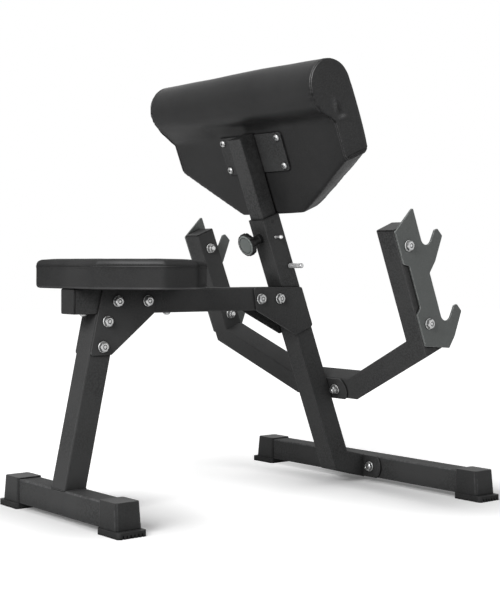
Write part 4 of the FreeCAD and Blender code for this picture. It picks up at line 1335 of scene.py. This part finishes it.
@dataclass
class SeatCushion(Cushion):
    """The wide seat with its cut corners."""

    name: str = "seat_cover"
    nodes: tuple[str, ...] = ("seat_cushion", "seat_board")
    stands_for: tuple[str, ...] = ("seat_cushion",)
    body: Body = Body.FRAME
    finish: Finish = SEAT_VINYL
    underside: float = 0.407
    tacked: float = 0.0035
    plain: float = 0.005
    uneven: float = 0.0004
    uneven_scale: float = 24.0
    seam_height: float = 0.4489
    seam_depth: float = 0.0009
    seam_width: float = 0.0016
    upright: float = 0.5
    welt_height: float = 0.447
    stitch_height: float = 0.4432
    # Painted highlights along the lower edge, on the top's rounding where it faces the near cut corner, and on the lip
    # there.
    hem: float = 0.002
    hem_shine: float = 1.1
    top_shine: float = 0.3
    top_turn: Pair = (0.6, 0.3)
    level_least: float = 0.2
    corner_turn: Pair = (0.8, 0.14)
    corner_reach: float = 0.47
    corner_width: float = 0.012
    lip_shine: Pair = (0.03, 0.35)

    def held(self, point: Vector, normal: Vector) -> bool:
        """The underside lies on its board and on the beam, and the seam holds the cover round the side."""
        seam = abs(point.z - self.seam_height) < self.voxel * 0.6 and abs(normal.z) < self.upright
        return point.z < self.underside + self.tacked or seam

    def shaped(self, point: Vector, normal: Vector) -> float:
        """A seam round the side below the top's rounding, and slow unevenness of the foam.

        Args:
            point: a point of the cover.
            normal: the cover's normal there.

        Returns:
            How far the cover stands out there.
        """
        if point.z < self.underside + self.plain:
            return 0.0
        seam = max(0.0, 1.0 - abs(normal.z)) * bell(point.z - self.seam_height, self.seam_width)
        return self.uneven * noise.noise(point * self.uneven_scale) - self.seam_depth * seam

    def nearness(self, normal: Vector) -> float:
        """How much a side faces the rear right corner.

        Args:
            normal: the side's normal.

        Returns:
            A share from 0 to 1.
        """
        level = normal.xy.length
        facing = (normal.x - normal.y) / math.sqrt(2) / level if level > self.level_least else 0.0
        return min(1.0, max(0.0, (facing - self.corner_turn[0]) / self.corner_turn[1]))

    def painted_light(self, point: Vector, normal: Vector) -> float:
        """Painted highlights on the rounding above the seam at the cut corner, and on the lower edge all round.

        Args:
            point: the middle of a face.
            normal: the face's normal.

        Returns:
            The face's mark.
        """
        if point.z > self.seam_height + self.hem:
            return self.top_shine * self.nearness(normal) * bell(normal.z - self.top_turn[0], self.top_turn[1])
        low = bell(point.z - self.underside - self.hem, self.seam_width)
        return self.hem_shine * low * max(0.0, 1.0 - abs(normal.z))

    def wear_and_painted_light(self, point: Vector) -> float:
        """The lip has a painted highlight at the cut corner."""
        least, more = self.lip_shine
        return least + more * fading(self.corner_reach - point.x + point.y, self.corner_width)

    def seam_planes(self) -> list[Plane]:
        """One row of stitches below the seam."""
        return [(Vector((0, 0, self.stitch_height)), Vector((0, 0, 1)))]

    def welt_planes(self) -> list[Plane]:
        """A lip right below the seam."""
        return [(Vector((0, 0, self.welt_height)), Vector((0, 0, 1)))]


@dataclass(frozen=True)
class Fold:
    """One rounded hump on an end panel: its rise, its middle, its width and length, and how it leans."""

    rise: float
    across: float
    along: float
    width: float
    length: float
    lean: float = 0.0

    def at(self, across: float, along: float) -> float:
        """Height of the hump at a point."""
        side = across - self.across - self.lean * (along - self.along)
        return self.rise * bell(side, self.width) * bell(along - self.along, self.length)


@dataclass
class PadCushion(Cushion):
    """The sloping arm pad with its rolled top, covered all round over its board.

    Its uneven rows are the rise, scale and shift of a noise, its eased rows are the reach round the hollow, the
    right end and the rounds of smoothing, and its folds run from the inside corner of an end panel.
    """

    name: str = "pad_cover"
    nodes: tuple[str, ...] = ("pad_cushion", "pad_board", "pad_inserts")
    stands_for: tuple[str, ...] = ("pad_cushion", "pad_board")
    body: Body = Body.PAD
    voxel: float = 0.0042
    shrink: float = 0.001
    cap: float = 0.002
    welt: float = 0.001
    welt_insets: Pair = (0.0034, 0.0062)
    stitch_inset: float = 0.014
    half: float = 0.251
    seam_reach: float = 0.012
    seam_turn: Pair = (0.45, 0.85)
    panel_reach: float = 0.016
    panel_turn: float = 0.6
    back: float = 0.023
    back_top: float = 0.7
    board_reach: float = 0.004
    hollow: float = 0.752
    hollow_middle: float = 0.015
    roll_w: float = 0.035
    roll_v: float = 0.816
    flange: float = 0.009
    flange_reach: float = 0.011
    flange_deep: Pair = (0.009, 0.004)
    flange_above: Pair = (0.004, 0.036)
    flange_below: Pair = (0.022, 0.037)
    bridge_from: Pair = (-0.0085, 0.79)
    bridge_to: float = 0.752
    bridge_drop: float = 0.01
    bridge_step: Pair = (0.112, 0.006)
    bridge_lift: float = 0.015
    bridge_fade: float = 0.009
    bridge_edge: Pair = (0.04, 0.007)
    bridge_ends: Pair = (0.2, 0.15)
    bridge_share: float = 0.9
    fuller: float = 0.0012
    fuller_from: float = 0.07
    fuller_width: float = 0.06
    sunk: float = 0.0002
    uneven: tuple[tuple[float, float, Point], ...] = (
        (0.0005, 17.0, (0.0, 0.0, 0.0)), (0.0013, 6.5, (3.7, 1.1, 0.4)))
    eased_clear: Pair = (0.004, 0.002)
    eased: tuple[tuple[float, float, int], ...] = ((0.02, 0.231, 6), (0.03, 0.0, 8), (0.042, -0.02, 20))
    tuck: float = 0.0011
    tuck_reach: float = 0.03
    tuck_inset: float = 0.007
    tuck_width: float = 0.006
    tuck_turn: Pair = (0.15, 0.55)
    tuck_waves: tuple[float, float, float] = (27.0, 1.3, 7.0)
    pull_w: float = 0.029
    pull_v: float = 0.762
    folds: tuple[Fold, ...] = (Fold(0.0048, 0.0, 0.022, 0.0042, 0.013), Fold(0.0048, 0.009, -0.005, 0.011, 0.0042),
                               Fold(-0.003, 0.008, 0.012, 0.006, 0.011))
    # Painted light: highlights on the fold crests, a lighter tone on the end panels, painted shade on the underside
    # that is deeper at the ends, and highlights on the welts over the roll.
    crests: tuple[Fold, ...] = (Fold(0.16, -0.001, 0.02, 0.0035, 0.012, 0.1),
                                Fold(0.42, 0.0085, -0.0045, 0.008, 0.0032))
    panel_shine: float = 0.06
    panel_edge: float = 0.006
    panel_edge_turn: float = 0.2
    under_turn: float = 0.3
    painted_shade: float = 0.19
    end_painted_shade: float = 0.3
    end_painted_shade_width: float = 0.012
    welt_board: float = 0.008
    welt_shine: tuple[float, float, float] = (0.3, 0.03, 0.9)
    welt_turn: Pair = (0.72, 0.5)

    def axes(self) -> Matrix:
        """The pad is drawn in the post's axes."""
        return POST

    def on_board(self, point: Vector, reach: float) -> bool:
        """Whether a point is on the flat back below the hollow, within a reach."""
        return point.y < self.back + reach and point.z < self.hollow

    def held(self, point: Vector, normal: Vector) -> bool:
        """The flat back lies on its board, and the end seams hold the cover."""
        seam = abs(point.x) > self.half - self.seam_reach and self.seam_turn[0] < abs(normal.x) < self.seam_turn[1]
        return self.on_board(point, self.board_reach) or seam

    def shaped(self, point: Vector, normal: Vector) -> float:
        """End seams, the pulls at the inside corners of the ends, and slow unevenness of the foam.

        Args:
            point: a point of the cover.
            normal: the cover's normal there.

        Returns:
            How far the cover stands out there.
        """
        if self.on_board(point, self.board_reach):
            return 0.0
        out = sum(rise * noise.noise(point * scale + Vector(shift)) for rise, scale, shift in self.uneven) - self.sunk
        out += self.fuller * math.tanh((point.x + self.fuller_from) / self.fuller_width) * max(0.0, normal.z)
        if abs(point.x) > self.half - self.tuck_reach:
            out += self.gathers(point)
        if abs(point.x) > self.half - self.panel_reach and abs(normal.x) > self.panel_turn:
            out += self.raised(self.folds, point + self.drawn(point))
        return out

    def drawn(self, point: Vector) -> Vector:
        """The end panels' seams run straight across the hollow behind the roll, and on the left the cover does too.

        Args:
            point: a point of the cover.

        Returns:
            Its move.
        """
        if point.x < 0.0:
            return self.bridged(point)
        near = bell(self.half - point.x, self.flange_reach)
        rear = fading(point.y - self.back - self.flange_deep[0], self.flange_deep[1])
        above = (self.roll_v - self.flange_above[0] - point.z) / self.flange_above[1]
        below = (point.z - self.hollow + self.flange_below[0]) / self.flange_below[1]
        share = min(1.0, max(0.0, above if point.z > self.hollow + self.hollow_middle else below))
        return Vector((0.0, 0.0, -self.flange * near * rear * share * share * (3.0 - 2.0 * share)))

    def bridged(self, point: Vector) -> Vector:
        """How far the cover's left half is lifted to a straight run from the roll to the back.

        Args:
            point: a point of the cover's left half.

        Returns:
            Its move.
        """
        off = Vector((point.y - self.bridge_from[0], point.z - self.bridge_from[1]))
        lower = self.bridge_drop * fading(point.x + self.bridge_step[0], self.bridge_step[1])
        run = Vector((self.back, self.bridge_to - lower)) - Vector(self.bridge_from)
        outward = Vector((run.y, -run.x)).normalized()
        deep, along = -off.dot(outward), off.dot(run) / run.length_squared
        if deep < 0.0 or not 0.0 < along < 1.0:
            return Vector((0.0, 0.0, 0.0))
        left = fading(point.x + self.bridge_edge[0], self.bridge_edge[1])
        lift = min(deep, self.bridge_lift) * math.exp(-max(0.0, deep - self.bridge_lift) / self.bridge_fade)
        ends = min(1.0, along / self.bridge_ends[0], (1.0 - along) / self.bridge_ends[1])
        move = outward * lift * left * ends * self.bridge_share
        return Vector((0.0, move.x, move.y))

    def relax(self, mesh: BMesh) -> None:
        """The hollow behind the roll is eased, and more so on the left.

        Args:
            mesh: the cover's mesh.
        """
        for reach, right, rounds in self.eased:
            soft = [vert for vert in mesh.verts if abs(vert.co.z - self.hollow - self.hollow_middle) < reach
                    and -self.half + self.eased_clear[0] < vert.co.x < right
                    and vert.co.y < self.roll_w - self.eased_clear[1]]
            smoothed(mesh, soft, rounds)

    def gathers(self, point: Vector) -> float:
        """Small tucks across the end seams, strongest at the roll's back.

        Args:
            point: a point near an end.

        Returns:
            How far the tucks stand out there.
        """
        turn = self.round_roll(point)
        near = bell(abs(point.x) - self.half + self.tuck_inset, self.tuck_width)
        near *= bell(turn + self.tuck_turn[0], self.tuck_turn[1])
        close, sway, slow = self.tuck_waves
        return self.tuck * near * math.sin(turn * close + sway * math.sin(turn * slow))

    def round_roll(self, point: Vector) -> float:
        """Angle round the roll's middle, from its back upwards."""
        return math.atan2(point.z - self.roll_v, self.roll_w - point.y)

    def raised(self, folds: Iterable[Fold], point: Vector) -> float:
        """Sum of some folds at a point of an end panel."""
        return sum(fold.at(point.y - self.pull_w, point.z - self.pull_v) for fold in folds)

    def painted_light(self, point: Vector, normal: Vector) -> float:
        """The end panels are painted lighter, with painted highlights on the crests of their folds, and the underside
        has painted shade.

        Args:
            point: the middle of a face.
            normal: the face's normal.

        Returns:
            The face's mark.
        """
        if normal.z < -self.under_turn and point.z < self.back_top:
            return -self.painted_shade - self.end_painted_shade * math.exp((abs(point.x) - self.half) / self.end_painted_shade_width)
        if abs(point.x) < self.half - self.panel_edge or abs(normal.x) < self.panel_edge_turn:
            return 0.0
        return self.panel_shine + self.raised(self.crests, point)

    def wear_and_painted_light(self, point: Vector) -> float:
        """The welts have painted highlights over the roll's back and top, and little below.

        Args:
            point: a point of a welt.

        Returns:
            The share of painted highlight there.
        """
        board, plain, roll = self.welt_shine
        edge = board if self.on_board(point, self.welt_board) else plain
        return edge + roll * bell(self.round_roll(point) - self.welt_turn[0], self.welt_turn[1])

    def seam_planes(self) -> list[Plane]:
        """A row of stitches beside each end seam."""
        return self.end_planes(self.stitch_inset)

    def welt_planes(self) -> list[Plane]:
        """A double welt along each end seam."""
        return self.end_planes(*self.welt_insets)

    def end_planes(self, *insets: float) -> list[Plane]:
        """Upright planes at some distances from both ends."""
        return [(Vector((side * (self.half - inset), 0, 0)), Vector((1, 0, 0)))
                for side in (-1, 1) for inset in insets]


@dataclass
class Studio:
    """Floor, lamps, background and the photograph's camera.

    Each base is the middle and half width across, and the middle and half depth along, of a stretch of tube on the
    floor, round which the floor's glow is lowered as a painted shadow.
    """

    eye: Point = (1.9402, -1.5533, 0.4488)
    forward: Point = (-0.7837, 0.6208, -0.0212)
    right: Point = (0.6209, 0.7839, 0.0043)
    focal_pixels: float = 1282.05
    middle: Pair = (226.22, 292.91)
    image: tuple[int, int] = (500, 600)
    sensor: float = 36.0
    farthest: float = 60.0
    ambient: float = 0.24
    floor_half: float = 9.0
    floor_colour: float = 0.78
    floor_glow: float = 0.55
    floor_far: float = 0.4
    painted_shadow_glow: float = 0.12
    shadow_reach: float = 0.3
    far_reach: float = 2.0
    bases: tuple[tuple[float, float, float, float], ...] = ((-0.03, 0.11, -0.363, 0.02), (0.15, 0.15, 0.363, 0.03))
    aim: Point = (0.0, 0.0, 0.4)
    lamps: tuple[tuple[str, Point, float, float], ...] = (
        ("overhead", (0.05, -0.3, 2.6), 0.9, 23.5), ("key_box", (1.02, -2.36, 1.5), 1.2, 64.0),
        ("right_box", (1.6, 1.0, 0.75), 0.8, 3.2))

    def build(self) -> None:
        """Set up the whole studio."""
        bpy.context.scene.view_settings.view_transform = "Standard"
        self.camera()
        self.floor()
        self.background()
        for name, place, size, power in self.lamps:
            self.lamp(name, Vector(place), size, power)

    def camera(self) -> None:
        """Camera at the photograph's viewpoint."""
        data = bpy.data.cameras.new("camera")
        long_side = max(self.image)
        data.sensor_width = self.sensor
        data.lens = self.focal_pixels * self.sensor / long_side
        data.shift_x = (self.image[0] / 2 - self.middle[0]) / long_side
        data.shift_y = (self.middle[1] - self.image[1] / 2) / long_side
        data.clip_end = self.farthest
        forward, right = Vector(self.forward).normalized(), Vector(self.right)
        right = (right - forward * right.dot(forward)).normalized()
        turn = Matrix((right, right.cross(forward), -forward)).transposed()
        camera = linked("camera", data)
        camera.matrix_world = Matrix.Translation(self.eye) @ turn.to_4x4()
        bpy.context.scene.camera = camera

    def floor(self) -> None:
        """Pale floor that keeps the bench's shadow, with a painted shadow where its glow for seen rays is lowered near
        the bases.
        """
        mesh = bmesh.new()
        bmesh.ops.create_grid(mesh, x_segments=8, y_segments=8, size=self.floor_half)
        data = bpy.data.meshes.new("floor")
        mesh.to_mesh(data)
        mesh.free()
        material = bpy.data.materials.new("pale_floor")
        material.use_nodes = True
        tree = material.node_tree
        sketch = Sketch(tree)
        tree.nodes.remove(tree.nodes["Principled BSDF"])
        matt = sketch.add("ShaderNodeBsdfDiffuse", {"Color": (self.floor_colour,) * 3 + (1.0,)})
        away = self.away(sketch, sketch.add("ShaderNodeTexCoord").outputs["Object"])
        # Painted shadow: the glow for seen rays is lowest right at the bases and rises away from them.
        level = sketch.math("ADD", sketch.ranged(away, 0.0, self.shadow_reach, self.painted_shadow_glow, self.floor_glow),
                            sketch.ranged(away, self.shadow_reach, self.far_reach, 0.0, self.floor_far))
        glow = sketch.add("ShaderNodeEmission", {"Strength": sketch.math("MULTIPLY", sketch.seen(), level)})
        both = sketch.add("ShaderNodeAddShader", {0: matt.outputs[0], 1: glow.outputs[0]})
        sketch.feed(tree.nodes["Material Output"].inputs["Surface"], both.outputs[0])
        data.materials.append(material)
        floor = linked("floor", data)

    def away(self, sketch: Sketch, place: Socket) -> Socket:
        """Distance on the floor from the nearer of the two bases.

        Args:
            sketch: the floor's sketch.
            place: the point of the floor.

        Returns:
            The distance's socket.
        """
        parts = sketch.add("ShaderNodeSeparateXYZ", {0: place}).outputs
        found = []
        for across, half, middle, deep in self.bases:
            squares = []
            for axis, centre, reach in (("X", across, half), ("Y", middle, deep)):
                off = sketch.math("ABSOLUTE", sketch.math("SUBTRACT", parts[axis], centre), 0.0)
                past = sketch.math("MAXIMUM", sketch.math("SUBTRACT", off, reach), 0.0)
                squares.append(sketch.math("POWER", past, 2.0))
            found.append(sketch.math("SQRT", sketch.math("ADD", *squares), 0.0))
        return sketch.math("MINIMUM", *found)

    def background(self) -> None:
        """White background, and a softer light from it on the bench."""
        world = bpy.data.worlds.new("background")
        world.use_nodes = True
        sketch = Sketch(world.node_tree)
        level = sketch.add("ShaderNodeMapRange", {"Value": sketch.seen(), "To Min": self.ambient, "To Max": 1.0})
        shade = world.node_tree.nodes["Background"].inputs
        shade["Color"].default_value = (1.0, 1.0, 1.0, 1.0)
        sketch.feed(shade["Strength"], level.outputs[0])
        bpy.context.scene.world = world

    def lamp(self, name: str, place: Vector, size: float, power: float) -> None:
        """One soft square lamp turned to the bench.

        Args:
            name: the lamp's name.
            place: where it stands.
            size: its side.
            power: its power in watts.
        """
        data = bpy.data.lights.new(name, "AREA")
        data.size = size
        data.energy = power
        turn = (Vector(self.aim) - place).to_track_quat("-Z", "Y").to_matrix().to_4x4()
        linked(name, data).matrix_world = Matrix.Translation(place) @ turn


def cleared() -> None:
    """Empty the starting scene."""
    for item in list(bpy.data.objects):
        bpy.data.objects.remove(item)


def main() -> None:
    """Load the frame, dress it, add every piece and report it."""
    logging.basicConfig(level=logging.INFO, format="%(name)s %(message)s")
    cleared()
    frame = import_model()
    shop = Workshop(frame)
    Studio().build()
    for assembly in (Fastenings, Weldments, SeatCushion, PadCushion):
        done = len(shop.made)
        assembly(shop).build()
        for piece in shop.made[done:]:
            LOG.info("%s: %s, %d faces", assembly.__name__, piece.name, len(piece.data.polygons))


if __name__ == "__main__":
    main()
